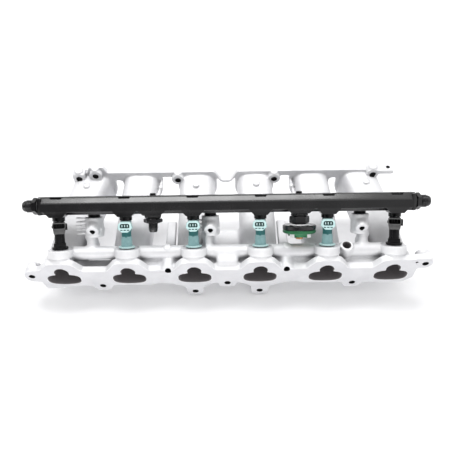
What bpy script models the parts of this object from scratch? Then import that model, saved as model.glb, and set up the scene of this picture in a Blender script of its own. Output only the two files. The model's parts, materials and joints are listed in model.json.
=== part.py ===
"""Lower intake manifold of a straight-six engine, with its fuel rail, injectors and damper.

World frame: metres, +X along the engine from cylinder 1 to cylinder 6, +Y from the head flange
to the plenum flange, +Z up. The origin is the middle of the head flange face, on the line
through the middles of the six ports. Lengths in this script are millimetres until a mesh is made.

Everything that belongs to the fuel side is laid out in the fuel frame: its origin is on the
head flange face, FUEL_HEIGHT above the world origin, its Z is the injector axis, which leans
back INJECTOR_TILT from upright, and its -Y looks out over the flange.
"""
import math

import bmesh
import bpy
from mathutils import Matrix, Vector

MM = 0.001

# Engine layout
CYLINDERS = 6
CYLINDER_PITCH = 93.0
FUEL_HEIGHT = 12.0
INJECTOR_TILT = 45.0
GAP = 0.35                      # clearance between neighbouring pieces
OVERSHOOT = 2.0                 # how far a cutter stands out past the face it opens

# Head flange
HEAD_FLANGE_THICKNESS = 10.0
PORT_HALF_WIDTH = 22.8
PORT_HALF_HEIGHT = 11.7
PORT_DROP = -3.0                # height of the port ovals
PORT_CROWN_Z = 13.5             # middle of the round notch above each port
M8_HOLE_RADIUS = 4.25
HEAD_HOLES = ((-276, 6), (-181, -21), (-83, 15), (-47.5, -40), (0, -17.5),
              (47.5, -40), (83, 15), (181, -21), (274, 25))
PIN_HOLE = (261, 29)
PIN_RADIUS = 1.6
VALLEY_TOP = 17.0               # flange top edge between two ports
ARCH_TOP = 35.0                 # flange top edge above a port
LOBE_BOTTOM = -52.0             # lowest edge of the two long lobes
EAR_BOSS_RADIUS = 10.5          # round stock behind the two end holes
EAR_BOSS_BACK = 20.0
LUG_RADIUS = 9.5                # round stock behind the other raised holes
DEEP_LUG_BACK = 43.0

# Runners and plenum flange
RUNNER_RADII = (28.0, 26.5, 26.5, 26.5, 26.5, 28.0)
RUNNER_HALF_HEIGHT = 18.5       # at the head flange
OVAL_POWER = 0.7                # 1 for an ellipse, less for flatter sides
RUNNER_END_POWER = 0.76         # the runners' outside stays squarish up to the plenum flange
DUCT_RADIUS = 22.5
RUNNER_START = 6.0
RUNNER_RISE = 26.0              # height of the duct centres at the plenum flange
PLENUM_X = (-201.0, -129.0, -44.0, 44.0, 129.0, 201.0)
PLENUM_FACE = 159.0
PLENUM_FLANGE_THICKNESS = 9.0
PLENUM_RIM_RADIUS = 30.0
PLENUM_TOP = 58.0
PLENUM_HOLES = ((-221.5, 54), (-196, 59), (-73, 48), (73, 48), (221.5, 55))
PLENUM_LUG_FACE = 142.5
SWAY_START = 40.0               # where the runners begin to lean towards the middle
TAB_LOW = (226, 141, 56)        # flat ear at the right end of the plenum flange
TAB_HIGH = (252, 158, 63.5)
TAB_HOLE = (244, 149.5)
TAB_HOLE_RADIUS = 2.6
PLENUM_HOLE_DEPTH = 26.0
SQUARE_LUG_BOTTOM = 34.0        # the block that carries the first plenum hole

# Casting details
GALLERY_Y = 27.0
GALLERY_Z = 24.0
GALLERY_RADIUS = 9.5
BOSS_RADIUS = 16.0
BOSS_FACE = 35.0                # injector boss face, along the injector axis
BOSS_ROOT = 16.5                # keeps the boss behind the head flange face
SPOTFACE_RADIUS = 16.6
SPRAY_RADIUS = 8.2
CROWN_RADIUS = 9.75
SEAT_RADIUS = 7.6
COLUMN_X = (-187.0, -23.0, 188.0)
COLUMN_RADIUS = 12.0
COLUMN_BACK = 15.0              # rail bolt axis, behind the injector axis plane
COLUMN_ROOT = 50.0              # below this a column is a slimmer stem
STEM_RADIUS = 7.0
COLUMN_FACE = 78.5
COLUMN_HOLE_START = 55.0
PAD_LOW = (-9, 42, 43)          # the pad in front of a column, about the column's X
PAD_HIGH = (9, 60, 62)
PAD_HOLE_Z = 53.0
PAD_HOLE_RADIUS = 3.3
PAD_HOLE_BACK = 51.0
STAY_X = 130.0
STAY_Y = 128.0
STAY_RADIUS = 12.0
STAY_FOOT_RADIUS = 10.0
STAY_HOLE_TOP = -28.0
TEST_PORT = (167.0, 25.0, 38.0)
TEST_PORT_RADIUS = 9.0
TEST_PORT_BORE_RADIUS = 5.5
TEST_PORT_DEPTH = 24.0

# Fuel rail, along the injector axis (fuel frame Z) and across it (fuel frame Y)
RAIL_HALF_LENGTH = 257.0
RAIL_BOTTOM = 84.0
RAIL_TOP = 108.5
RAIL_HALF_DEPTH = 13.0
RAIL_CHAMFER = 5.0
RAIL_AXIS = 96.0
RAIL_BORE_RADIUS = 7.0
CUP_RADIUS = 8.6
CUP_BORE_RADIUS = 6.2
CUP_BOTTOM = 75.0
LUG_TOP = 98.0
LUG_BACK = 24.0
SPACER_RADIUS = 8.6
PORT_BORE_RADIUS = 6.5          # return port and damper port
SCREW_RECESS_RADIUS = 6.4
BOLT_RADIUS = 3.0
PORT_X = -102.0                 # return port in the rail
DAMPER_X = 100.5                # pulsation damper port in the rail
FITTING_BORE_RADIUS = 4.2

# Injectors: how far each plug socket is turned about the injector axis, in degrees
SOCKET_TURNS = (18.0, 5.0, 2.0, -7.0, -8.0, -18.0)

# Damper, along its axis
DAMPER_RADIUS = 23.0
DAMPER_SPLIT = 59.0

COLOURS = {                     # base colour, roughness, metallic
    "cast_aluminium": ((0.78, 0.78, 0.79), 0.45, 0.8),
    "black_anodised": ((0.012, 0.012, 0.014), 0.32, 0.7),
    "teal_plastic": ((0.22, 0.52, 0.48), 0.4, 0.0),
    "black_plastic": ((0.02, 0.02, 0.021), 0.5, 0.0),
    "injector_steel": ((0.45, 0.45, 0.46), 0.3, 1.0),
    "green_anodised": ((0.03, 0.16, 0.07), 0.35, 0.6),
    "rubber": ((0.015, 0.015, 0.015), 0.7, 0.0),
    "brass": ((0.6, 0.33, 0.14), 0.35, 1.0),
}


# ---------------------------------------------------------------- scene helpers

def clear_scene():
    for obj in list(bpy.data.objects):
        bpy.data.objects.remove(obj, do_unlink=True)


def new_collection(name):
    coll = bpy.data.collections.new(name)
    bpy.context.scene.collection.children.link(coll)
    return coll


def make_material(name):
    colour, roughness, metallic = COLOURS[name]
    mat = bpy.data.materials.new(name)
    mat.use_nodes = True
    shader = mat.node_tree.nodes["Principled BSDF"]
    shader.inputs["Base Color"].default_value = (*colour, 1.0)
    shader.inputs["Roughness"].default_value = roughness
    shader.inputs["Metallic"].default_value = metallic
    return mat


def finish_mesh(mesh):
    mesh.shade_smooth()
    mesh.set_sharp_from_angle(angle=math.radians(35))


def add_object(name, mesh, coll, parent=None, place=(0, 0, 0)):
    obj = bpy.data.objects.new(name, mesh)
    coll.objects.link(obj)
    obj.parent = parent
    obj.location = Vector(place) * MM
    return obj


def hide_helper(obj):
    obj.hide_render = True
    obj.display_type = "WIRE"
    return obj


def mesh_from_bmesh(name, bm):
    mesh = bpy.data.meshes.new(name)
    bm.to_mesh(mesh)
    bm.free()
    finish_mesh(mesh)
    return mesh


def baked_mesh(obj):
    """The evaluated mesh of an object, welded; the object itself is removed."""
    bpy.context.view_layer.update()
    depsgraph = bpy.context.evaluated_depsgraph_get()
    mesh = bpy.data.meshes.new_from_object(obj.evaluated_get(depsgraph))
    bm = bmesh.new()
    bm.from_mesh(mesh)
    bmesh.ops.remove_doubles(bm, verts=bm.verts, dist=0.00001)
    bm.to_mesh(mesh)
    bm.free()
    bpy.data.objects.remove(obj, do_unlink=True)
    finish_mesh(mesh)
    return mesh


# ---------------------------------------------------------------- shape helpers

def cylinder_mesh(name, radius, start, end, sides=12, end_radius=None):
    """A cylinder or cone between two points."""
    start = Vector(start) * MM
    end = Vector(end) * MM
    along = end - start
    turn = Vector((0, 0, 1)).rotation_difference(along.normalized()).to_matrix().to_4x4()
    bm = bmesh.new()
    top = radius if end_radius is None else end_radius
    bmesh.ops.create_cone(bm, cap_ends=True, segments=sides, radius1=radius * MM,
                          radius2=top * MM, depth=along.length,
                          matrix=Matrix.Translation((start + end) / 2) @ turn)
    return mesh_from_bmesh(name, bm)


def box_mesh(name, low, high, rounding=0.0):
    """A box between two corners, its edges chamfered by rounding."""
    low = Vector(low) * MM
    high = Vector(high) * MM
    bm = bmesh.new()
    size = Matrix.Diagonal((*(high - low), 1))
    bmesh.ops.create_cube(bm, size=1, matrix=Matrix.Translation((low + high) / 2) @ size)
    if rounding:
        bmesh.ops.bevel(bm, geom=bm.edges, offset=rounding * MM, segments=1,
                        affect="EDGES")
    return mesh_from_bmesh(name, bm)


def turned_mesh(name, profile, steps=14):
    """A turned shape about Z. The profile, as (radius, z), runs down the outside and, for a
    shape with a bore, back up the inside."""
    bored = all(radius > 0 for radius, _ in profile)
    mesh = bpy.data.meshes.new(name)
    count = len(profile)
    edges = [(i, i + 1) for i in range(count - 1)]
    if bored:
        edges.append((count - 1, 0))
    mesh.from_pydata([(r * MM, 0, z * MM) for r, z in profile], edges, [])
    obj = bpy.data.objects.new(name, mesh)
    bpy.context.scene.collection.objects.link(obj)
    screw = obj.modifiers.new("turn", "SCREW")
    screw.steps = steps
    screw.render_steps = steps
    screw.use_merge_vertices = True
    screw.merge_threshold = 0.00001
    return baked_mesh(obj)


def rounded_outline(corners, steps=2):
    """Turn corners given as (x, y, radius) into points, each corner an arc."""
    points = []
    count = len(corners)
    for i, (x, y, radius) in enumerate(corners):
        here = Vector((x, y))
        if radius == 0:
            points.append(here)
            continue
        back = (Vector(corners[i - 1][:2]) - here).normalized()
        ahead = (Vector(corners[(i + 1) % count][:2]) - here).normalized()
        half = back.angle(ahead) / 2
        centre = here + (back + ahead).normalized() * (radius / math.sin(half))
        first = here + back * (radius / math.tan(half)) - centre
        last = here + ahead * (radius / math.tan(half)) - centre
        sweep = first.angle_signed(last)
        for step in range(steps + 1):
            turn = Matrix.Rotation(-sweep * step / steps, 2)
            points.append(centre + turn @ first)
    return points


def plate_mesh(name, corners, low, high):
    """A flat outline in XZ, given as rounded corners, thick from y = low to y = high."""
    curve = bpy.data.curves.new(name, "CURVE")
    curve.dimensions = "2D"
    curve.fill_mode = "BOTH"
    curve.extrude = (high - low) / 2 * MM
    points = rounded_outline(corners)
    spline = curve.splines.new("POLY")
    spline.points.add(len(points) - 1)
    for target, point in zip(spline.points, points):
        target.co = (point.x * MM, point.y * MM, 0, 1)
    spline.use_cyclic_u = True
    obj = bpy.data.objects.new(name, curve)
    bpy.context.scene.collection.objects.link(obj)
    mesh = baked_mesh(obj)
    upright = Matrix.Rotation(math.radians(90), 4, "X")
    mesh.transform(Matrix.Translation((0, (low + high) / 2 * MM, 0)) @ upright)
    return mesh


def loft_mesh(name, rings):
    """A closed skin over rings of equal point counts, with flat ends."""
    bm = bmesh.new()
    loops = [[bm.verts.new(Vector(point) * MM) for point in ring] for ring in rings]
    for first, second in zip(loops, loops[1:]):
        for i in range(len(first)):
            j = (i + 1) % len(first)
            bm.faces.new((first[i], first[j], second[j], second[i]))
    bm.faces.new(loops[0][::-1])
    bm.faces.new(loops[-1])
    bmesh.ops.recalc_face_normals(bm, faces=bm.faces)
    return mesh_from_bmesh(name, bm)


def combine(obj, operation, group, solver="EXACT"):
    """Join or cut with a whole collection. The casting and the rail take the MANIFOLD solver,
    because their many operands run into each other, which EXACT leaves with open edges."""
    modifier = obj.modifiers.new(operation.lower(), "BOOLEAN")
    modifier.operation = operation
    modifier.operand_type = "COLLECTION"
    modifier.collection = group
    modifier.solver = solver


def merge_flat_faces(obj):
    """Join the slivers that the Boolean steps leave on flat faces."""
    modifier = obj.modifiers.new("flat", "DECIMATE")
    modifier.decimate_type = "DISSOLVE"
    modifier.angle_limit = math.radians(0.4)


class Helpers:
    """A collection of hidden operands for one Boolean step."""

    def __init__(self, name, parent=None):
        self.group = new_collection(name)
        self.parent = parent

    def add(self, mesh, place=(0, 0, 0)):
        obj = add_object(mesh.name, mesh, self.group, self.parent, place)
        return hide_helper(obj)

    def rod(self, radius, start, end, sides=12, end_radius=None):
        return self.add(cylinder_mesh("rod", radius, start, end, sides, end_radius))


# ---------------------------------------------------------------- casting

def cylinder_x(index):
    return (index - (CYLINDERS - 1) / 2) * CYLINDER_PITCH


def head_flange_corners():
    """The flange outline: along the bottom from the left ear, then back over the ports."""
    lobe = ((-80, -19, 8), (-61, -27, 9), (-58.5, LOBE_BOTTOM, 10.4), (-36.5, LOBE_BOTTOM, 10.4),
            (-34, -27, 9), (-20, -18, 8))
    centre = ((-14, -18, 3), (-10, -28, 8), (10, -28, 8), (14, -18, 3))
    mirrored_lobe = tuple((-x, z, r) for x, z, r in reversed(lobe))
    left = ((-285, 18, 9), (-285, -6, 9), (-266, -9, 4), (-264, -26, 5), (-240, -26, 8),
            (-228, -21, 6), (-197, -21, 5), (-191, -32, 8), (-171, -32, 8), (-165, -20, 5),
            (-112, -20, 8), (-96, -15, 10))
    right = ((96, -15, 10), (112, -20, 8), (165, -20, 5), (171, -32, 8), (191, -32, 8),
             (197, -21, 5), (254, -21, 8), (266, -9, 6), (266, 14, 4), (283, 16, 9),
             (283, 37, 8), (263, 37, 6))
    corners = list(left + lobe + centre + mirrored_lobe + right)
    for index in reversed(range(CYLINDERS)):
        x = cylinder_x(index)
        if index < CYLINDERS - 1:
            corners.append((x + 30, VALLEY_TOP, 5))
        corners.append((x + 17, ARCH_TOP, 11))
        corners.append((x - 17, ARCH_TOP, 11))
        if index > 0:
            corners.append((x - 30, VALLEY_TOP, 5))
    corners.append((-264, 20, 5))
    return corners


def plenum_flange_corners():
    """The scalloped plate: round under each duct, bridged along the top."""
    corners = []
    rim = PLENUM_RIM_RADIUS
    bottom = RUNNER_RISE - rim
    bridges = (41, 47, None, 47, 41)        # lowest edge between two ducts, none in the middle
    for index, x in enumerate(PLENUM_X):
        left = x - rim
        if index and bridges[index - 1]:
            corners.append((left, bridges[index - 1], 5))
        corners.append((left, bottom, rim - 3))
        corners.append((x + rim, bottom, rim - 3))
        if index < len(bridges) and bridges[index]:
            corners.append((x + rim, bridges[index], 5))
        elif index < len(bridges):
            corners += [(x + rim, 46, 1.2), (-8, 34, 8), (8, 34, 8), (-x - rim, 46, 1.2)]
    corners += [(PLENUM_X[-1] + rim, PLENUM_TOP, 5)]
    corners += [(17, PLENUM_TOP, 8), (8, 39, 7), (-8, 39, 7), (-17, PLENUM_TOP, 8)]
    corners += [(-180, PLENUM_TOP, 4), (-185, 70, 4), (-206, 70, 4), (-210, PLENUM_TOP, 4),
                (PLENUM_X[0] - rim, PLENUM_TOP, 5)]
    return corners


def duct_rings(index, half_width, half_height, radius, span, end_power, count=5, sides=12):
    """Rings from the flat oval at the head flange to the rounder end at the plenum flange."""
    first_y, last_y = span
    rings = []
    for step in range(count):
        part = step / (count - 1)
        blend = part * part * (3 - 2 * part)
        y = first_y + (last_y - first_y) * part
        lean = max(0, y - SWAY_START) / (PLENUM_FACE - SWAY_START)
        centre_x = cylinder_x(index) + (PLENUM_X[index] - cylinder_x(index)) * lean
        centre_z = PORT_DROP + (RUNNER_RISE - PORT_DROP) * blend
        wide = half_width + (radius - half_width) * blend
        tall = half_height + (radius - half_height) * blend
        power = OVAL_POWER + (end_power - OVAL_POWER) * blend
        ring = []
        for side in range(sides):
            angle = 2 * math.pi * side / sides
            cos, sin = math.cos(angle), math.sin(angle)
            x = centre_x + wide * math.copysign(abs(cos) ** power, cos)
            z = centre_z + tall * math.copysign(abs(sin) ** power, sin)
            ring.append((x, y, z))
        rings.append(ring)
    return rings


def add_runners(solid):
    for index in range(CYLINDERS):
        radius = RUNNER_RADII[index]
        span = (RUNNER_START, PLENUM_FACE - PLENUM_FLANGE_THICKNESS + 2)
        rings = duct_rings(index, radius, RUNNER_HALF_HEIGHT, radius, span, RUNNER_END_POWER)
        solid.add(loft_mesh("runner", rings))


def add_flange_bosses(solid):
    for x, z in (HEAD_HOLES[0], HEAD_HOLES[-1]):
        solid.rod(EAR_BOSS_RADIUS, (x, 1, z), (x, EAR_BOSS_BACK, z))
    for x, z in (HEAD_HOLES[2], HEAD_HOLES[6]):
        solid.rod(LUG_RADIUS, (x, 1, z), (x, DEEP_LUG_BACK, z))
    for x, z in PLENUM_HOLES:
        solid.rod(LUG_RADIUS, (x, PLENUM_LUG_FACE, z), (x, PLENUM_FACE - 1, z))
    solid.add(box_mesh("tab", TAB_LOW, TAB_HIGH, 2))
    x, z = PLENUM_HOLES[0]
    low = (x - LUG_RADIUS - 0.5, PLENUM_LUG_FACE + 1, SQUARE_LUG_BOTTOM)
    high = (x + LUG_RADIUS - 0.5, PLENUM_FACE - 1, z + LUG_RADIUS - 1.5)
    solid.add(box_mesh("lug", low, high, 2))


def add_gallery(solid):
    """The cast bar that joins the injector bosses, on a web behind the flange."""
    end = cylinder_x(CYLINDERS - 1)
    solid.rod(GALLERY_RADIUS, (-end, GALLERY_Y, GALLERY_Z), (end, GALLERY_Y, GALLERY_Z))
    solid.add(box_mesh("web", (-end, 5, -9), (end, GALLERY_Y, 7)))
    for x in (-83.0, 0.0, 83.0):
        solid.add(box_mesh("bridge", (x - 13, 5, 0), (x + 13, GALLERY_Y, VALLEY_TOP - 2)))


def add_columns(solid, fuel_solid):
    """The posts that carry the rail, each on a stem and with a pad that faces the head."""
    for x in COLUMN_X:
        side = 1 if x > 0 else -1
        fuel_solid.rod(COLUMN_RADIUS, (x, COLUMN_BACK, COLUMN_ROOT), (x, COLUMN_BACK, COLUMN_FACE))
        stem_x = x + side * 4.5
        fuel_solid.rod(STEM_RADIUS, (stem_x, COLUMN_BACK - 3, 22), (stem_x, COLUMN_BACK, 56))
        middle = Vector((x, 0, 0))
        solid.add(box_mesh("pad", middle + Vector(PAD_LOW), middle + Vector(PAD_HIGH), 1.5))
        near, far = sorted((x, x + side * 14))
        solid.add(box_mesh("rib", (near, 44, 6), (far, 56, 38)))


def add_stays(solid):
    """Two support feet under the outer runners, gusseted to the plenum flange."""
    for x in (-STAY_X, STAY_X):
        solid.rod(STAY_RADIUS, (x, STAY_Y, 15), (x, STAY_Y, LOBE_BOTTOM),
                  end_radius=STAY_FOOT_RADIUS)
        solid.add(box_mesh("gusset", (x - 4, STAY_Y, -30), (x + 4, PLENUM_FACE - 2, 12)))


def port_cutters(cuts, fuel_cuts):
    """One duct and one injector seat for each cylinder."""
    for index in range(CYLINDERS):
        x = cylinder_x(index)
        span = (-OVERSHOOT, PLENUM_FACE + OVERSHOOT)
        rings = duct_rings(index, PORT_HALF_WIDTH, PORT_HALF_HEIGHT, DUCT_RADIUS, span, 1.0)
        cuts.add(loft_mesh("duct", rings))
        cuts.rod(CROWN_RADIUS, (x, -OVERSHOOT, PORT_CROWN_Z), (x, 12, PORT_CROWN_Z), 14)
        fuel_cuts.rod(SPRAY_RADIUS, (x, 0, -16), (x, 0, 17))
        fuel_cuts.rod(SEAT_RADIUS, (x, 0, 10), (x, 0, BOSS_FACE + OVERSHOOT))
        fuel_cuts.rod(SPOTFACE_RADIUS, (x, 0, BOSS_FACE), (x, 0, BOSS_FACE + 18))


def hole_cutters(cuts, fuel_cuts):
    """The holes for studs, screws, the locating pin and the test port."""
    for x, z in HEAD_HOLES:
        cuts.rod(M8_HOLE_RADIUS, (x, -OVERSHOOT, z), (x, DEEP_LUG_BACK + 5, z))
    x, z = PIN_HOLE
    cuts.rod(PIN_RADIUS, (x, -OVERSHOOT, z), (x, HEAD_FLANGE_THICKNESS - 1, z), 8)
    for x, z in PLENUM_HOLES:
        cuts.rod(M8_HOLE_RADIUS, (x, PLENUM_FACE - PLENUM_HOLE_DEPTH, z),
                 (x, PLENUM_FACE + OVERSHOOT, z))
    x, y = TAB_HOLE
    cuts.rod(TAB_HOLE_RADIUS, (x, y, TAB_LOW[2] - OVERSHOOT), (x, y, TAB_HIGH[2] + OVERSHOOT), 10)
    for x in COLUMN_X:
        fuel_cuts.rod(BOLT_RADIUS + GAP, (x, COLUMN_BACK, COLUMN_HOLE_START),
                      (x, COLUMN_BACK, COLUMN_FACE + OVERSHOOT), 10)
        cuts.rod(PAD_HOLE_RADIUS, (x, 36, PAD_HOLE_Z), (x, PAD_HOLE_BACK, PAD_HOLE_Z), 10)
    for x in (-STAY_X, STAY_X):
        cuts.rod(M8_HOLE_RADIUS, (x, STAY_Y, LOBE_BOTTOM - OVERSHOOT), (x, STAY_Y, STAY_HOLE_TOP))
    x, y, z = TEST_PORT
    cuts.rod(TEST_PORT_BORE_RADIUS, (x, y, z - TEST_PORT_DEPTH), (x, y, z + OVERSHOOT))


def build_casting(parts, frame, material):
    solid = Helpers("casting_solids")
    fuel_solid = Helpers("casting_fuel_solids", frame)
    cuts = Helpers("casting_cutters")
    fuel_cuts = Helpers("casting_fuel_cutters", frame)
    add_runners(solid)
    add_flange_bosses(solid)
    add_gallery(solid)
    add_columns(solid, fuel_solid)
    add_stays(solid)
    for index in range(CYLINDERS):
        x = cylinder_x(index)
        fuel_solid.rod(BOSS_RADIUS, (x, 0, BOSS_ROOT), (x, 0, BOSS_FACE + 1), 16)
    x, y, z = TEST_PORT
    solid.rod(TEST_PORT_RADIUS, (x, y, 0), (x, y, z))
    low = PLENUM_FACE - PLENUM_FLANGE_THICKNESS
    solid.add(plate_mesh("plenum_flange", plenum_flange_corners(), low, PLENUM_FACE))
    port_cutters(cuts, fuel_cuts)
    hole_cutters(cuts, fuel_cuts)
    flange = plate_mesh("casting", head_flange_corners(), 0, HEAD_FLANGE_THICKNESS)
    casting = add_object("manifold_casting", flange, parts)
    casting.data.materials.append(material)
    combine(casting, "UNION", solid.group, "MANIFOLD")
    combine(casting, "UNION", fuel_solid.group, "MANIFOLD")
    combine(casting, "DIFFERENCE", cuts.group, "MANIFOLD")
    combine(casting, "DIFFERENCE", fuel_cuts.group, "MANIFOLD")
    merge_flat_faces(casting)


# ---------------------------------------------------------------- fuel rail

def rail_section_mesh():
    """The rail bar: an octagon with a wide front face, drawn out along X."""
    half, cut = RAIL_HALF_DEPTH, RAIL_CHAMFER
    section = [(-half, RAIL_BOTTOM + 4), (-half, RAIL_TOP - 9), (-half + 6, RAIL_TOP),
               (half - cut, RAIL_TOP), (half, RAIL_TOP - cut), (half, RAIL_BOTTOM + cut),
               (half - cut, RAIL_BOTTOM), (-half + 4, RAIL_BOTTOM)]
    rings = [[(x, y, z) for y, z in section] for x in (-RAIL_HALF_LENGTH, RAIL_HALF_LENGTH)]
    return loft_mesh("rail_bar", rings)


def gusset_mesh(half_top, half_bottom, bottom):
    """A tapered block under the rail's front face, down to a port."""
    corners = ((-half_top, RAIL_BOTTOM + 5, 0), (-half_bottom, bottom, 0),
               (half_bottom, bottom, 0), (half_top, RAIL_BOTTOM + 5, 0))
    return plate_mesh("gusset", corners, -RAIL_HALF_DEPTH + 0.5, 7)


def build_rail(parts, frame, material):
    solid = Helpers("rail_solids", frame)
    cuts = Helpers("rail_cutters", frame)
    for index in range(CYLINDERS):
        x = cylinder_x(index)
        solid.add(gusset_mesh(17, CUP_RADIUS, 80.5), (x, 0, 0))
        solid.rod(CUP_RADIUS, (x, 0, CUP_BOTTOM), (x, 0, RAIL_BOTTOM + 4))
        cuts.rod(CUP_BORE_RADIUS, (x, 0, CUP_BOTTOM - 2), (x, 0, RAIL_AXIS - 3), 14)
    for x in (PORT_X, DAMPER_X):
        solid.add(gusset_mesh(20, 12, 82), (x, 0, 0))
        cuts.rod(PORT_BORE_RADIUS, (x, 0, 70), (x, 0, RAIL_AXIS - 2), 14)
    for x in COLUMN_X:
        solid.add(box_mesh("lug", (x - 11, 8, RAIL_BOTTOM + 0.1), (x + 11, LUG_BACK, LUG_TOP), 2))
        cuts.rod(BOLT_RADIUS + GAP, (x, COLUMN_BACK, 80), (x, COLUMN_BACK, LUG_TOP + 1), 10)
        cuts.rod(SCREW_RECESS_RADIUS, (x, COLUMN_BACK, LUG_TOP), (x, COLUMN_BACK, RAIL_TOP + 3))
    reach = RAIL_HALF_LENGTH + OVERSHOOT
    cuts.rod(RAIL_BORE_RADIUS, (-reach, -2, RAIL_AXIS), (reach, -2, RAIL_AXIS))
    rail = add_object("fuel_rail", rail_section_mesh(), parts, frame)
    rail.data.materials.append(material)
    combine(rail, "UNION", solid.group, "MANIFOLD")
    combine(rail, "DIFFERENCE", cuts.group, "MANIFOLD")
    merge_flat_faces(rail)


def hex_nut_mesh(name, radius, low, high):
    return cylinder_mesh(name, radius, (0, 0, low), (0, 0, high), 6)


def flare_fitting_mesh():
    """A male flare fitting along +Z: a stub into the rail, a hex and a coned nose."""
    bore = FITTING_BORE_RADIUS
    stub = RAIL_BORE_RADIUS - GAP
    profile = [(6.3, 22.0), (7.6, 19.5), (7.6, 17.0), (8.6, 16.6), (8.6, 8.5), (7.4, 8.0),
               (7.4, 2.6), (stub, 2.4), (stub, -14), (bore, -14), (bore, 22.0)]
    body = add_object("fitting_body", turned_mesh("fitting", profile),
                      bpy.context.scene.collection)
    nut = Helpers("fitting_hex")
    nut.add(hex_nut_mesh("hex", 11.8, 2.6, 8.0))
    hole = Helpers("fitting_hole")
    hole.rod(bore + 0.6, (0, 0, 1), (0, 0, 9))
    combine(nut.group.objects[0], "DIFFERENCE", hole.group)
    combine(body, "UNION", nut.group)
    return baked_mesh(body)


def ring_mesh(name, inner, outer, low, high, steps=12):
    """A ring with a soft, chamfered section."""
    mid = (low + high) / 2
    profile = [((inner + outer) / 2, high), (outer, mid), ((inner + outer) / 2, low), (inner, mid)]
    return turned_mesh(name, profile, steps)


def build_end_fittings(parts, frame, metal, rubber):
    fitting = flare_fitting_mesh()
    fitting.materials.append(metal)
    seal = ring_mesh("end_seal", RAIL_BORE_RADIUS + 0.1, RAIL_BORE_RADIUS + 2.1, 0.3, 2.3)
    seal.materials.append(rubber)
    for name, side in (("left", -1), ("right", 1)):
        place = (side * RAIL_HALF_LENGTH, -2, RAIL_AXIS)
        for kind, mesh in (("rail_end_fitting", fitting), ("rail_end_seal", seal)):
            obj = add_object(kind + "_" + name, mesh, parts, frame, place)
            obj.rotation_euler = (0, side * math.radians(90), 0)


def build_return_port(parts, frame, metal, rubber):
    """The plugged return port: a hex fitting that points down from the rail."""
    profile = [(6.0, 93), (6.0, 81.2), (9.5, 81), (9.5, 70.5), (6.3, 70), (6.3, 61), (5, 58),
               (3.2, 58), (3.2, 93)]
    body = add_object("port_body", turned_mesh("return_fitting", profile),
                      bpy.context.scene.collection)
    nut = Helpers("return_hex")
    nut.add(hex_nut_mesh("hex", 13.2, 71, 78))
    hole = Helpers("return_hole")
    hole.rod(4, (0, 0, 69), (0, 0, 80))
    combine(nut.group.objects[0], "DIFFERENCE", hole.group)
    combine(body, "UNION", nut.group)
    mesh = baked_mesh(body)
    mesh.materials.append(metal)
    add_object("return_port_fitting", mesh, parts, frame, (PORT_X, 0, 0))
    seal = ring_mesh("return_seal", 9.9, 11.6, 79.6, 81.6)
    seal.materials.append(rubber)
    add_object("return_port_seal", seal, parts, frame, (PORT_X, 0, 0))


def build_mountings(parts, frame, bolt_metal, spacer_metal):
    """Three spacers and socket screws that hold the rail on its columns."""
    spacer = turned_mesh("spacer", [(SPACER_RADIUS, RAIL_BOTTOM - GAP),
                                    (SPACER_RADIUS, COLUMN_FACE + GAP),
                                    (BOLT_RADIUS + GAP, COLUMN_FACE + GAP),
                                    (BOLT_RADIUS + GAP, RAIL_BOTTOM - GAP)])
    spacer.materials.append(spacer_metal)
    seat = LUG_TOP + GAP
    bolt = turned_mesh("bolt", [(0, seat + 3), (2.4, seat + 3), (2.6, seat + 6), (4.6, seat + 6),
                                (5.2, seat + 5.2), (5.2, seat), (BOLT_RADIUS, seat),
                                (BOLT_RADIUS, 59), (2.4, 58), (0, 58)], 12)
    bolt.materials.append(bolt_metal)
    for number, x in enumerate(COLUMN_X, 1):
        add_object(f"rail_spacer_{number}", spacer, parts, frame, (x, COLUMN_BACK, 0))
        add_object(f"rail_bolt_{number}", bolt, parts, frame, (x, COLUMN_BACK, 0))


# ---------------------------------------------------------------- injectors

def injector_body_mesh():
    """The steel core, with a bore for the needle and the fuel."""
    profile = [(4.6, 87), (4.6, 84), (3.4, 84), (3.4, 80), (4.4, 80), (4.4, 54), (6.0, 54),
               (6.0, 31.5), (5.0, 31.5), (5.0, 26.5), (6.4, 26.5), (6.4, 22), (1.4, 22), (1.4, 87)]
    return turned_mesh("injector_body", profile, 10)


def injector_housing_mesh():
    """The moulded sleeve with its collar and plug socket."""
    profile = [(7.4, 74.2), (7.4, 55), (7.0, 55), (7.0, 38.6), (11.4, 38.6), (11.4, 36),
               (6.0 + GAP, 36), (6.0 + GAP, 54 + GAP), (4.4 + GAP, 54 + GAP), (4.4 + GAP, 74.2)]
    body = add_object("housing", turned_mesh("injector_housing", profile, 12),
                      bpy.context.scene.collection)
    solid = Helpers("socket_solid")
    solid.add(box_mesh("socket", (-8.4, -20, 58), (8.4, -5.2, 72), 1.4))
    cut = Helpers("socket_cut")
    cut.add(box_mesh("cavity", (-6.8, -24, 59.6), (6.8, -9.5, 70.4), 0.8))
    combine(body, "UNION", solid.group)
    combine(body, "DIFFERENCE", cut.group)
    return baked_mesh(body)


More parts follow.
